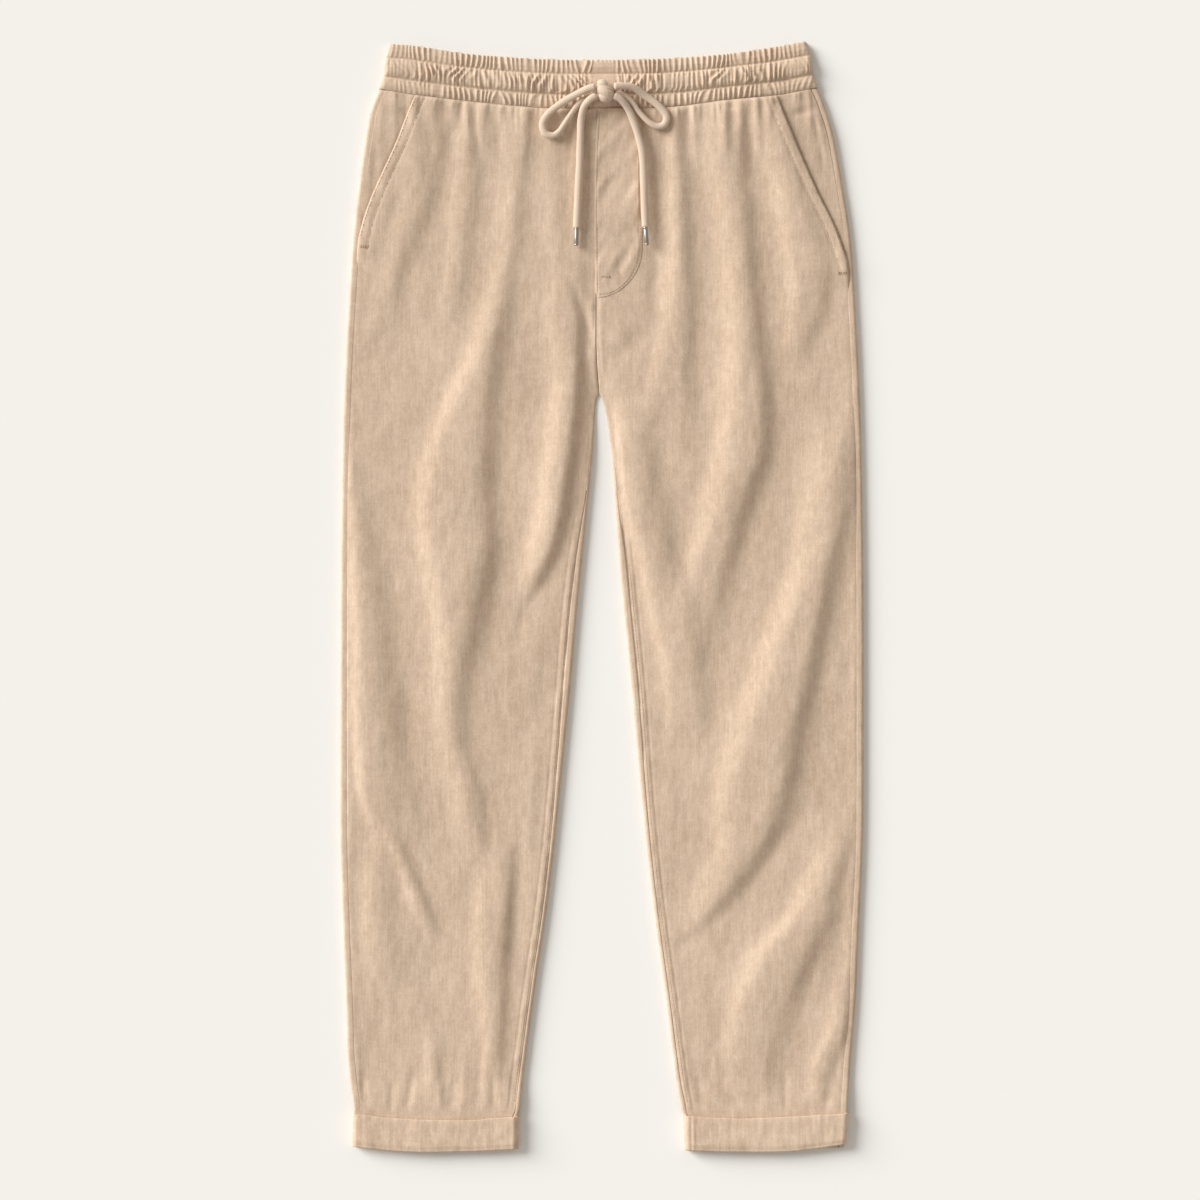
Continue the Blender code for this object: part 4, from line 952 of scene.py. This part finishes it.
class TROUSERS_OT_fronts(bpy.types.Operator):
    """Lays the two front legs, with folds, gathers and pocket edges"""

    bl_idname = "trousers.fronts"
    bl_label = "Front legs"

    def execute(self, context):
        for side in ("right", "left"):
            points = front_grid(side)
            faces = grid_faces(*points.shape[:2], flip=side == "left")
            piece = new_piece("front_cloth_" + side, points, faces, linen_material("linen"),
                              "front_leg_" + side)
            thicken(piece, sizes().cloth_thickness)
        return {"FINISHED"}


class TROUSERS_OT_backs(bpy.types.Operator):
    """Lays the two back legs on the floor and wraps them round the sides"""

    bl_idname = "trousers.backs"
    bl_label = "Back legs"

    def execute(self, context):
        for side in ("right", "left"):
            points = back_grid(side)
            faces = grid_faces(*points.shape[:2], flip=side == "left")
            piece = new_piece("back_cloth_" + side, points, faces, linen_material("linen"),
                              "back_leg_" + side)
            thicken(piece, sizes().cloth_thickness)
        return {"FINISHED"}


class TROUSERS_OT_facings(bpy.types.Operator):
    """Tucks the pockets' side pieces under the slanted mouths"""

    bl_idname = "trousers.facings"
    bl_label = "Pocket facings"

    def execute(self, context):
        for side in ("right", "left"):
            sign = sign_of(side)
            levels = np.linspace(SEAM_LOWEST, POCKET_ENDS[side] + 6.0, 90)[:, None]
            down = follow_seam(levels, sign * 200.0)
            outer = track(OUTER_EDGES, side, down) - SIDE_SEAM_INSET - 0.2
            mouth = track(POCKET_MOUTHS, side, down) - FACING_TUCK
            inner = np.minimum(mouth, outer - 8.0)
            outward = outer + (inner - outer) * np.linspace(0.0, 1.0, 60)[None, :]
            across = sign * outward
            down = follow_seam(levels + 0.0 * across, across)
            height = base_height(side, across, down)
            soft = ease((outer - outward) / 6.0)
            shown = ease((outward - mouth - FACING_TUCK + 2.0) / 6.0)
            creases = crease_height(across, down) + 0.6 * wear(across, down)
            gathers = 0.5 * gather_height(across, down)
            height = height + soft * shown * (creases + gathers) - 0.3 * (1.0 - shown)
            points = np.stack([across, down, height], axis=-1)
            faces = grid_faces(*points.shape[:2], flip=side == "right")
            # The facing's linen is a darker copy, painted shade where it lies tucked under the pocket mouth.
            piece = new_piece("pocket_facing_cloth_" + side, points, faces, linen_material("linen_painted_shade", 0.93),
                              "pocket_facing_" + side)
            thicken(piece, sizes().cloth_thickness)
        return {"FINISHED"}


class TROUSERS_OT_fly(bpy.types.Operator):
    """Lays the fly's outer layer with its J-shaped edge"""

    bl_idname = "trousers.fly"
    bl_label = "Fly"

    def execute(self, context):
        straight = np.linspace(SEAM_LOWEST, FLY_BEND_START, 110)
        bend = np.linspace(0.0, math.radians(84), 60)[1:]
        levels = np.concatenate([straight, FLY_BEND_START + (FLY_BOTTOM - FLY_BEND_START) * np.sin(bend)])[:, None]
        reach = np.concatenate([np.ones(len(straight)), np.cos(bend)])[:, None]
        edge = track(FLY_EDGE, "across", levels)
        share = np.linspace(0.0, 1.0, 90)[None, :]
        across = edge + share * reach * (FLY_WIDTH_AT - edge)
        down = levels + 0.0 * across
        from_edge = across - edge
        from_side = reach * (FLY_WIDTH_AT - edge) * (1.0 - share)
        from_bottom = (FLY_BOTTOM - down) * 0.9
        from_far = np.minimum(from_side, np.maximum(from_bottom, 0.0))
        rim = np.minimum(from_edge, from_far)
        lift = 0.25 + 0.55 * ease(rim / 2.2) - 0.35 * bell(from_far - 2.4, 0.9)
        puckers = cloud(across, down, 5.0, 9.0, 61) * bell(from_far - 4.0, 3.2)
        rumple = 0.8 * cloud(across + 0.5 * down, down, 9.0, 22.0, 62) * ease(rim / 4.0)
        edge_stitch = -0.3 * bell(from_edge - FLY_STITCH_INSET - 0.6, 0.7)
        height = panel_height(across, down) + lift + 0.35 * puckers + rumple + edge_stitch
        points = np.stack([across, down, height], axis=-1)
        faces = grid_faces(*points.shape[:2], flip=True)
        piece = new_piece("fly_cloth", points, faces, linen_material("linen"), "fly_placket")
        thicken(piece, 0.0004)
        return {"FINISHED"}


def band_place(share, fraction):
    """Across and down of places on the waistband, at a share of the way down and across it."""
    across = -196.0 + 388.0 * fraction + 0.0 * share
    for _ in range(4):
        top = track(BAND_LINES, "top", across)
        down = top + (track(BAND_LINES, "seam", across) - top) * share
        left = track(BAND_ENDS, "left", down[:, -1:])
        right = track(BAND_ENDS, "right", down[:, :1])
        across = -right + (left + right) * fraction
    return across, down


def pleats(phase, sharpness=0.75):
    """Gathers with round crests and narrow valleys: one less a power of the absolute cosine."""
    return 1.0 - np.abs(np.cos(math.pi * phase)) ** (1.0 / sharpness)


def band_height(share, across):
    """The casing's height: its puffed profile with three rows of gathers of their own spacing."""
    profile = np.array(BAND_PROFILE)
    base = np.interp(share, profile[:, 0], profile[:, 1])
    frill = pleats(across / 4.6 + 0.8 * cloud(across, share * 2.0, 12.0, 1.0, 71))
    channel = pleats(across / 6.8 + 1.25 * cloud(across, share * 3.4, 15.0, 1.0, 72))
    channel_fine = pleats(across / 3.7 + 0.7 * cloud(across, share * 2.0, 8.0, 1.0, 75))
    strip = pleats(across / 4.9 + 0.8 * cloud(across, share * 2.0, 11.0, 1.0, 73))
    uneven = 0.75 + 0.6 * cloud(across, share * 4.5, 10.0, 1.0, 74)
    in_frill = ease((UPPER_ROW_SHARE - share) / 0.05) * ease(share / 0.03 + 0.4)
    in_channel = ease((share - UPPER_ROW_SHARE) / 0.06) * ease((LOWER_ROW_SHARE - share) / 0.06)
    in_strip = ease((share - LOWER_ROW_SHARE) / 0.06) * ease((1.02 - share) / 0.08)
    at_rows = bell(share - UPPER_ROW_SHARE, 0.03) + bell(share - LOWER_ROW_SHARE, 0.03)
    amount = sizes().gather_height / METRE
    gathers = in_frill * (frill - 0.4) * 0.9 + in_strip * (strip - 0.4) * 0.8
    gathers = gathers + in_channel * (0.8 * (channel - 0.4) + 0.45 * (channel_fine - 0.4)) * 1.2
    gathers = gathers + at_rows * (channel_fine - 0.5) * 0.3
    plain = ease((np.abs(across - 1.5) - 8.0) / 5.0)
    at_sides = 0.35 + 0.65 * ease((178.0 - np.abs(across + 3.0)) / 26.0)
    sag = 0.35 * cloud(across, share * 30.0, 24.0, 9.0, 76)
    return base + amount * gathers * uneven * plain * at_sides + sag * in_channel


class TROUSERS_OT_waistband(bpy.types.Operator):
    """Gathers the elastic waistband's front and lays its back under it"""

    bl_idname = "trousers.waistband"
    bl_label = "Waistband"

    def execute(self, context):
        fraction = np.linspace(0.0, 1.0, 640)[None, :]
        share = np.linspace(0.0, 1.0, 54)[:, None]
        across, down = band_place(share, fraction)
        ripple = pleats(across / 4.6 + 0.8 * cloud(across, 0.0, 12.0, 1.0, 71)) - 0.4
        down = down - 0.9 * ripple * (1.0 - ease(share / 0.10))
        low = 5.4
        height = band_height(share + 0.0 * across, across)
        from_end = np.minimum(across - across[:, :1], across[:, -1:] - across)
        round_off = np.sqrt(1.0 - (1.0 - np.clip(from_end / 5.0, 0.0, 1.0)) ** 2)
        points = np.stack([across, down, low + (height - low) * round_off], axis=-1)
        faces = grid_faces(*points.shape[:2], flip=True)
        piece = new_piece("waistband_front_cloth", points, faces, linen_material("linen"),
                          "waistband_front")
        thicken(piece, 0.0007)

        fraction = np.linspace(0.0, 1.0, 260)[None, :]
        share = np.linspace(0.0, 1.0, 18)[:, None]
        across, down = band_place(share, fraction)
        around = [self.back_face(across, down, share, 1.0), self.back_face(across, down, share, 0.0)[::-1]]
        points = np.concatenate(around, axis=0)
        points = np.concatenate([points, points[:1]], axis=0)[:-1].transpose(1, 0, 2)
        faces = grid_faces(*points.shape[:2], closed=True)
        # The back band's linen is a darker copy, painted shade where it lies under the front band.
        back = new_piece("waistband_back_cloth", points, faces, linen_material("linen_painted_shade", 0.93),
                         "waistband_back")
        self.cap_ends(back, points.shape)
        return {"FINISHED"}

    @staticmethod
    def back_face(across, down, share, upper):
        """The back band's upper or lower face, with small gathers on its upper edge."""
        ripple = cloud(across, 0.0, 3.4, 1.0, 81)
        gather = 0.25 * cloud(across, share * 3.0, 2.6, 1.0, 82)
        rounded = np.sqrt(1.0 - (1.0 - np.clip(share / 0.06, 0.0, 1.0)) ** 2)
        height = (0.25 + 3.9 * rounded + gather) * upper if upper else 0.0 * across
        edge = down - (1.0 + 0.8 * ripple) * (1.0 - ease(share / 0.15)) - 0.8 * ease((share - 0.85) / 0.15)
        inset = (1.0 - upper) * 1.2 * np.sign(-across) * (np.abs(across) > 150.0)
        return np.stack([across + inset, edge, height], axis=-1)

    @staticmethod
    def cap_ends(piece, shape):
        """Closes the two ends of the band with one face each."""
        rows, columns = shape[:2]
        mesh = piece.data
        places = np.empty(rows * columns * 3)
        mesh.vertices.foreach_get("co", places)
        faces = [tuple(face.vertices) for face in mesh.polygons]
        faces.append(tuple(range(columns - 1, -1, -1)))
        faces.append(tuple(range((rows - 1) * columns, rows * columns)))
        material = mesh.materials[0]
        mesh.clear_geometry()
        mesh.from_pydata(places.reshape(-1, 3).tolist(), [], faces)
        mesh.shade_smooth()
        mesh.materials.clear()
        mesh.materials.append(material)


CUFFS = {
    "right": table(("edge", "inner", "inner_third", "outer_third", "outer"),
                   [(0, 967.8, 971.0, 970.2, 965.2), (1, 997.4, 999.6, 999.8, 995.2)]),
    "left": table(("edge", "inner", "inner_third", "outer_third", "outer"),
                  [(0, 967.0, 969.4, 967.6, 964.8), (1, 998.6, 1000.0, 999.2, 992.8)]),
}
CUFF_EDGES = {"right": ((74.7, 224.4), (75.0, 225.0)), "left": ((72.9, 222.4), (74.7, 220.6))}
CUFF_HEIGHT = HEM_HEIGHT + 2.0 * CUFF_WALL + 0.9
CUFF_SEAMS = {"right": 77.6, "left": 80.2}


def cuff_points(side, columns=260, rows=26):
    """A flattened ring round the leg's end: half circles at both edges, flat above and below, with
    its top edge thinned, and a soft roll at the bottom fold."""
    share = np.linspace(0.0, 1.0, rows)[:, None]
    (inner_top, outer_top), (inner_bottom, outer_bottom) = CUFF_EDGES[side]
    inner = inner_top + (inner_bottom - inner_top) * share
    outer = outer_top + (outer_bottom - outer_top) * share
    roll = bell(share - 1.0, 0.10) + 0.25 * bell(share, 0.07)
    height = CUFF_HEIGHT - 1.1 * roll
    radius = 0.5 * height
    flat = outer - inner - 2.0 * radius
    turn = math.pi * radius
    run = np.linspace(0.0, 1.0, columns, endpoint=False)[None, :] * (2.0 * (flat + turn))
    on_top = np.clip(run - turn, 0.0, flat)
    first = np.clip(run, 0.0, turn) / radius - 0.5 * math.pi
    second = np.clip(run - turn - flat, 0.0, turn) / radius
    under = np.clip(run - 2.0 * turn - flat, 0.0, flat)
    outward = outer - radius + radius * np.cos(first)
    up = radius + radius * np.sin(first)
    past = run > turn
    outward = np.where(past, outer - radius - on_top, outward)
    far = run > turn + flat
    outward = np.where(far, inner + radius - radius * np.sin(second), outward)
    up = np.where(far, radius + radius * np.cos(second), up)
    outward = outward + under
    place = np.clip((outward - inner) / (outer - inner), 0.0, 1.0)
    knots = np.array([0.0, 0.33, 0.67, 1.0])
    names = ("inner", "inner_third", "outer_third", "outer")
    top_line = smooth_value(knots, np.array([CUFFS[side][name][0] for name in names]), place)
    bottom_line = smooth_value(knots, np.array([CUFFS[side][name][1] for name in names]), place)
    across = sign_of(side) * outward
    wave = 0.35 * cloud(across, up, 14.0, 6.0, 91)
    down = top_line + wave * (1.0 - share) + (bottom_line - top_line) * share
    above = ease((up - 0.6 * height) / (0.3 * height))
    rumple = 0.3 * cloud(across, down, 11.0, 9.0, 92) + 0.18 * cloud(across, down, 4.0, 14.0, 93)
    edge_stitch = -0.3 * bell(share - 0.9, 0.03)
    seam = -0.7 * bell(outward - CUFF_SEAMS[side], 0.8) + 0.4 * bell(outward - CUFF_SEAMS[side] - 2.2, 1.6)
    return np.stack([across, down, up + above * (rumple + edge_stitch + seam)], axis=-1)


class TROUSERS_OT_cuffs(bpy.types.Operator):
    """Turns up the two cuffs round the legs' ends"""

    bl_idname = "trousers.cuffs"
    bl_label = "Cuffs"

    def execute(self, context):
        for side in ("right", "left"):
            points = cuff_points(side)
            faces = grid_faces(*points.shape[:2], flip=side == "right", closed=True)
            # The cuffs' linen is a lighter copy, painted light on the flat turned-up bands.
            piece = new_piece("cuff_cloth_" + side, points, faces, linen_material("linen_cuff_painted_light", 1.07),
                              "cuff_" + side)
            thicken(piece, 0.0021)
        return {"FINISHED"}


# Drawstring

def band_top(across, down):
    """The solid waistband's height at its gathers' crests."""
    top = track(BAND_LINES, "top", across)
    share = (down - top) / (seam_level(across) - top)
    stations = np.array([(0.0, 6.55), (0.14, 8.3), (0.28, 7.1), (0.41, 10.3), (0.58, 10.5), (0.7, 7.4),
                         (0.85, 8.9), (1.0, 7.15)])
    return np.interp(share, stations[:, 0], stations[:, 1])


def solid_height(across, down):
    """The solids' height below a place: waistband, fly or front with its folds and gathers."""
    middle = track(CENTRE_SEAM, "across", down)
    height = 0.0
    for side, chosen in (("right", across < middle), ("left", across >= middle)):
        inner, outer = leg_edges(side, down)
        outward = sign_of(side) * across
        clear = ease((outer - outward) / 12.0)
        seam_fade = 1.0 - ease((down - seam_level(across)) / (135.0 - SEAM_LOWEST))
        phase = across / 18.0 + 0.35 * np.sin(across / 31.0) + 0.2 * np.sin(across / 13.0 + 1.0)
        plain = ease((-12.0 - across) / 12.0) + ease((across - 40.0) / 12.0)
        gathers = (0.5 + 0.5 * np.cos(2.0 * math.pi * phase)) * seam_fade * plain
        level = base_height(side, across, down) + ridge_height(across, down) * clear
        height = np.where(chosen, level + pocket_raise(side, across, down) + gathers, height)
    in_fly = (across > -12.0) & (across < 40.0) & (down < 229.0)
    height = height + np.where(in_fly, 1.45, 0.0)
    return np.where(down < seam_level(across), band_top(across, down), height)


def lying_height(across, down):
    """The highest point of the solids close to each place."""
    shift_across = np.array([-4.0, -2.0, 0.0, 2.0, 4.0])[None, :, None]
    shift_down = np.array([-4.0, 0.0, 4.0])[None, None, :]
    around = solid_height(across[:, None, None] + shift_across, down[:, None, None] + shift_down)
    return around.max(axis=(1, 2))


def cord_line(route, count=CORD_RINGS):
    """A smooth line through a cord's own points: a cubic whose slopes join the neighbouring points."""
    route = np.array(route, dtype=float)
    rise = lying_height(route[:, 0], route[:, 1]) + 0.5 * CORD_DIAMETER + CORD_CLEARANCE + route[:, 2]
    places = np.stack([route[:, 0], route[:, 1], rise], axis=1)
    steps = np.arange(len(places), dtype=float)
    fine = np.linspace(0.0, steps[-1], 60 * len(places))
    line = np.stack([smooth_value(steps, places[:, k], fine) for k in range(3)], axis=1)
    along = np.append(0.0, np.cumsum(np.linalg.norm(np.diff(line, axis=0), axis=1)))
    even = np.linspace(0.0, along[-1], count)
    return np.stack([np.interp(even, along, line[:, k]) for k in range(3)], axis=1), along[-1]


def tube(line, half_width, half_height, around=CORD_AROUND):
    """A flattened tube along a line: an ellipse whose wide axis stays level, closed by narrow ends."""
    tangent = np.gradient(line, axis=0)
    tangent /= np.linalg.norm(tangent, axis=1, keepdims=True)
    level = np.cross(np.array([0.0, 0.0, 1.0]), tangent)
    level /= np.linalg.norm(level, axis=1, keepdims=True)
    upward = np.cross(tangent, level)
    angles = np.linspace(0.0, 2.0 * math.pi, around, endpoint=False)
    wide = np.asarray(half_width)[:, None, None] * np.cos(angles)[None, :, None] * level[:, None, :]
    high = np.asarray(half_height)[:, None, None] * np.sin(angles)[None, :, None] * upward[:, None, :]
    return line[:, None, :] + wide + high


def add_tube(name, rings, length, material, node):
    """A closed tube piece with a UV map that runs round and along it."""
    rows, around = rings.shape[:2]
    faces = grid_faces(rows, around, flip=True, closed=True)
    piece = new_piece(name, rings, faces, material, node)
    mesh = piece.data
    numbers = np.empty(len(mesh.loops), dtype=np.int32)
    mesh.loops.foreach_get("vertex_index", numbers)
    column = (numbers % around).reshape(-1, 4)
    row = (numbers // around).reshape(-1, 4)
    wrapped = (column.max(axis=1) - column.min(axis=1)) > 1
    column = np.where(wrapped[:, None] & (column == 0), around, column)
    uv = np.stack([column.ravel() / around, row.ravel() / (rows - 1) * length * METRE], axis=1)
    layer = mesh.uv_layers.new(name="along_cord")
    layer.data.foreach_set("uv", uv.ravel())
    return piece


class TROUSERS_OT_drawstring(bpy.types.Operator):
    """Ties the drawstring: two bow loops, two free ends with metal tips, and the knot"""

    bl_idname = "trousers.drawstring"
    bl_label = "Drawstring"

    def execute(self, context):
        wide = 0.5 * sizes().cord_width / METRE
        for name, route in CORD_ROUTES.items():
            line, length = cord_line(route)
            ends = np.clip(np.minimum(np.arange(CORD_RINGS), np.arange(CORD_RINGS)[::-1]) / 2.5, 0.0, 1.0)
            closing = np.sqrt(1.0 - (1.0 - ends) ** 2) * 0.98 + 0.02
            soft = 1.0 + 0.05 * cloud(np.arange(CORD_RINGS) * 1.0, 0.0, 14.0, 1.0, 101)
            if "loop" in name:
                soft = soft * (1.0 - 0.24 * ease((np.linspace(0.0, 1.0, CORD_RINGS) - 0.5) / 0.2))
            rings = tube(line, wide * closing * soft, 0.5 * (CORD_DIAMETER - 1.0) * closing)
            piece = add_tube("cord_" + name.split("_", 1)[1], rings, length, cord_material(), name)
            if "tail" in name:
                tip = self.add_tip(name.rsplit("_", 1)[1], line[-1])
        self.add_knot()
        return {"FINISHED"}

    @staticmethod
    def add_tip(side, end):
        """A rolled metal tip: a turned profile with a lip at each end and a rounded nose."""
        direction = np.array([*TIP_DIRECTIONS[side], 0.0])
        profile = np.array([(-1.25, 0.2), (-1.2, 1.75), (-0.8, 2.0), (0.5, 2.0), (0.8, 1.8), (1.2, 1.8),
                            (1.5, 1.95), (13.4, 1.95), (13.7, 1.8), (14.1, 1.8), (14.4, 1.95), (14.9, 1.9),
                            (15.2, 1.6), (15.3, 1.0), (15.34, 0.1)])
        line = end[None, :] + profile[:, :1] * direction[None, :]
        rings = tube(line, profile[:, 1], profile[:, 1], 28)
        return add_tube("tip_" + side, rings, TIP_LENGTH, metal_material(),
                        "drawstring_tip_" + side)

    @staticmethod
    def add_knot():
        """The knot: an egg of rings, pinched where one strand wraps slantwise over the others."""
        rows = 70
        around = 72
        share = np.linspace(0.0, 1.0, rows)[:, None]
        angle = np.linspace(2.0 * math.pi, 0.0, around, endpoint=False)[None, :]
        egg = np.sqrt(np.clip(1.0 - (2.0 * share - 1.0) ** 2, 0.0004, 1.0))
        waist = 1.0 - 0.10 * bell(share - 0.30, 0.07)
        half_width = (6.4 + 1.3 * ease((share - 0.2) / 0.3)) * egg ** 0.75 * waist
        middle = 0.1 + 3.0 * ease((share - 0.1) / 0.5)
        across = middle + half_width * np.cos(angle)
        down = 36.0 + 21.0 * share + 0.0 * across
        up = 11.2 + 6.2 + 6.2 * egg ** 0.8 * np.sin(angle) * waist
        slant = share - 0.58 - 0.16 * np.cos(angle)
        wrap = 0.9 * bell(slant, 0.13) - 0.9 * bell(slant - 0.21, 0.045) - 0.9 * bell(slant + 0.21, 0.045)
        centre = np.stack([middle + 0.0 * angle, down, 17.4 + 0.0 * across], axis=-1)
        points = np.stack([across, down, up], axis=-1)
        radial = points - centre
        radial /= np.linalg.norm(radial, axis=-1, keepdims=True)
        points = points + radial * (wrap * egg)[..., None]
        add_tube("cord_knot", points, 40.0, cord_material(), "drawstring_knot")


# Sewing

def stitch_row(line, normal, length=2.3, pitch=3.1, radius=0.22):
    """Stitches along a line as small domed bars: each an ellipse-ended half tube on the cloth."""
    along = np.append(0.0, np.cumsum(np.linalg.norm(np.diff(line, axis=0), axis=1)))
    count = max(int(along[-1] / pitch), 1)
    starts = (np.arange(count) + 0.5) * along[-1] / count
    steps = np.linspace(-0.5, 0.5, 5)
    taper = np.array([0.35, 0.9, 1.0, 0.9, 0.35])
    spots = starts[:, None] + steps[None, :] * length
    centre = np.stack([np.interp(spots, along, line[:, k]) for k in range(3)], axis=-1)
    run = np.gradient(centre, axis=1)
    run /= np.linalg.norm(run, axis=-1, keepdims=True)
    aside = np.cross(run, normal)
    angles = np.radians([0.0, 60.0, 120.0, 180.0, 270.0])
    ring = (np.cos(angles)[None, None, :, None] * aside[:, :, None, :]
            + np.sin(angles)[None, None, :, None] * np.asarray(normal)[None, None, None, :])
    points = centre[:, :, None, :] + radius * taper[None, :, None, None] * ring
    return points


def join_stitches(rows):
    """All stitches as one mesh: a tube of five sides for each, with a face at both of its ends."""
    points = np.concatenate(rows, axis=0)
    count, steps, sides = points.shape[:3]
    one = grid_faces(steps, sides, closed=True)
    base = (np.arange(count) * steps * sides)[:, None, None]
    faces = (one[None] + base).reshape(-1, 4).tolist()
    ends = np.arange(sides)
    first = ((np.arange(count) * steps * sides)[:, None] + ends[::-1][None]).tolist()
    last = ((np.arange(count) * steps * sides)[:, None] + (steps - 1) * sides + ends[None]).tolist()
    return points.reshape(-1, 3), faces + first + last


def cloth_line(across, down, height):
    return np.stack([across, down, height], axis=-1)


class TROUSERS_OT_sewing(bpy.types.Operator):
    """Sews the topstitching of pockets, fly, waistband, inseams and bar tacks"""

    bl_idname = "trousers.sewing"
    bl_label = "Sewing"

    def execute(self, context):
        up = np.array([0.0, 0.0, 1.0])
        rows = []
        for side in ("right", "left"):
            sign = sign_of(side)
            down = np.linspace(seam_level(sign * 165.0) + 2.0, POCKET_ENDS[side] + 16.0, 260)
            for inset in (9.3, 1.6):
                outward = track(POCKET_MOUTHS, side, down) - inset
                limit = track(OUTER_EDGES, side, down) - SIDE_SEAM_INSET - 1.0
                shown = outward < limit
                across = sign * outward[shown]
                level = down[shown]
                rows.append(stitch_row(cloth_line(across, level, front_height(side, across, level) + 0.12), up))
            down = np.linspace(470.0, 955.0, 900)
            inner = leg_edges(side, down)[0]
            outward = inner + 0.5 * EDGE_HEIGHT + track(INSEAM, "along", down) - 4.1 + 1.4
            across = sign * outward
            level = front_height(side, across, down) + hem_lift(down)
            rows.append(stitch_row(cloth_line(across, down, level + 0.10), up))
            tack_down = np.full(40, POCKET_ENDS[side] + 12.0)
            reach = track(OUTER_EDGES, side, tack_down) - SIDE_SEAM_INSET - np.linspace(1.0, 9.0, 40)
            for step in np.linspace(0.0, 1.6, 4):
                across = sign * reach
                level = front_height(side, across, tack_down + step)
                rows.append(stitch_row(cloth_line(across, tack_down + step, level + 0.3), up, 2.4, 2.0, 0.3))
        bend = np.linspace(0.0, math.radians(86), 80)
        down = np.concatenate([np.linspace(64.0, FLY_BEND_START, 200),
                               FLY_BEND_START + (FLY_BOTTOM - 2.6 - FLY_BEND_START) * np.sin(bend)])
        reach = np.concatenate([np.ones(200), np.cos(bend)])
        edge = track(FLY_EDGE, "across", down)
        across = edge + reach * (FLY_WIDTH_AT - 2.4 - edge)
        rows.append(stitch_row(cloth_line(across, down, panel_height(across, down) + 0.75), up))
        down = np.linspace(64.0, 226.0, 200)
        across = track(FLY_EDGE, "across", down) + FLY_STITCH_INSET
        rows.append(stitch_row(cloth_line(across, down, panel_height(across, down) + 0.75), up))
        for step in np.linspace(0.0, 1.5, 4):
            across = np.linspace(-1.0, 7.0, 30)
            down = np.full(30, 211.0 + step)
            rows.append(stitch_row(cloth_line(across, down, panel_height(across, down) + 1.1), up, 2.4, 2.0, 0.3))
        fraction = np.linspace(0.004, 0.996, 900)[None, :]
        for share in (UPPER_ROW_SHARE, LOWER_ROW_SHARE):
            across, down = band_place(np.full((1, 1), share), fraction)
            level = band_height(np.full_like(across, share), across)
            rows.append(stitch_row(cloth_line(across[0], down[0], level[0] + 0.1), up))
        points, faces = join_stitches(rows)
        mesh = bpy.data.meshes.new("topstitching")
        mesh.from_pydata(to_world(points).tolist(), [], faces)
        mesh.shade_smooth()
        mesh.materials.append(thread_material())
        piece = bpy.data.objects.new("topstitching", mesh)
        context.collection.objects.link(piece)
        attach(piece, "root")
        return {"FINISHED"}


class TROUSERS_PT_panel(bpy.types.Panel):
    """Lists the sizes, the colours and the steps that build the garment"""

    bl_idname = "TROUSERS_PT_panel"
    bl_label = "Trousers"
    bl_space_type = "VIEW_3D"
    bl_region_type = "UI"
    bl_category = "Trousers"

    def draw(self, context):
        for group in (sizes(), colours()):
            for name in group.__annotations__:
                self.layout.prop(group, name)
        for step in STEPS:
            self.layout.operator(step.bl_idname)


STEPS = (TROUSERS_OT_stage, TROUSERS_OT_drawstring, TROUSERS_OT_backs, TROUSERS_OT_facings,
         TROUSERS_OT_fronts, TROUSERS_OT_fly, TROUSERS_OT_waistband, TROUSERS_OT_cuffs, TROUSERS_OT_sewing)
CLASSES = (TrouserSizes, TrouserColours, *STEPS, TROUSERS_PT_panel)


def register():
    for item in CLASSES:
        bpy.utils.register_class(item)
    bpy.types.Scene.trouser_sizes = bpy.props.PointerProperty(type=TrouserSizes)
    bpy.types.Scene.trouser_colours = bpy.props.PointerProperty(type=TrouserColours)


def unregister():
    del bpy.types.Scene.trouser_colours
    del bpy.types.Scene.trouser_sizes
    for item in reversed(CLASSES):
        bpy.utils.unregister_class(item)


def main():
    register()
    for step in STEPS:
        group, name = step.bl_idname.split(".")
        getattr(getattr(bpy.ops, group), name)()


if __name__ == "__main__":
    main()
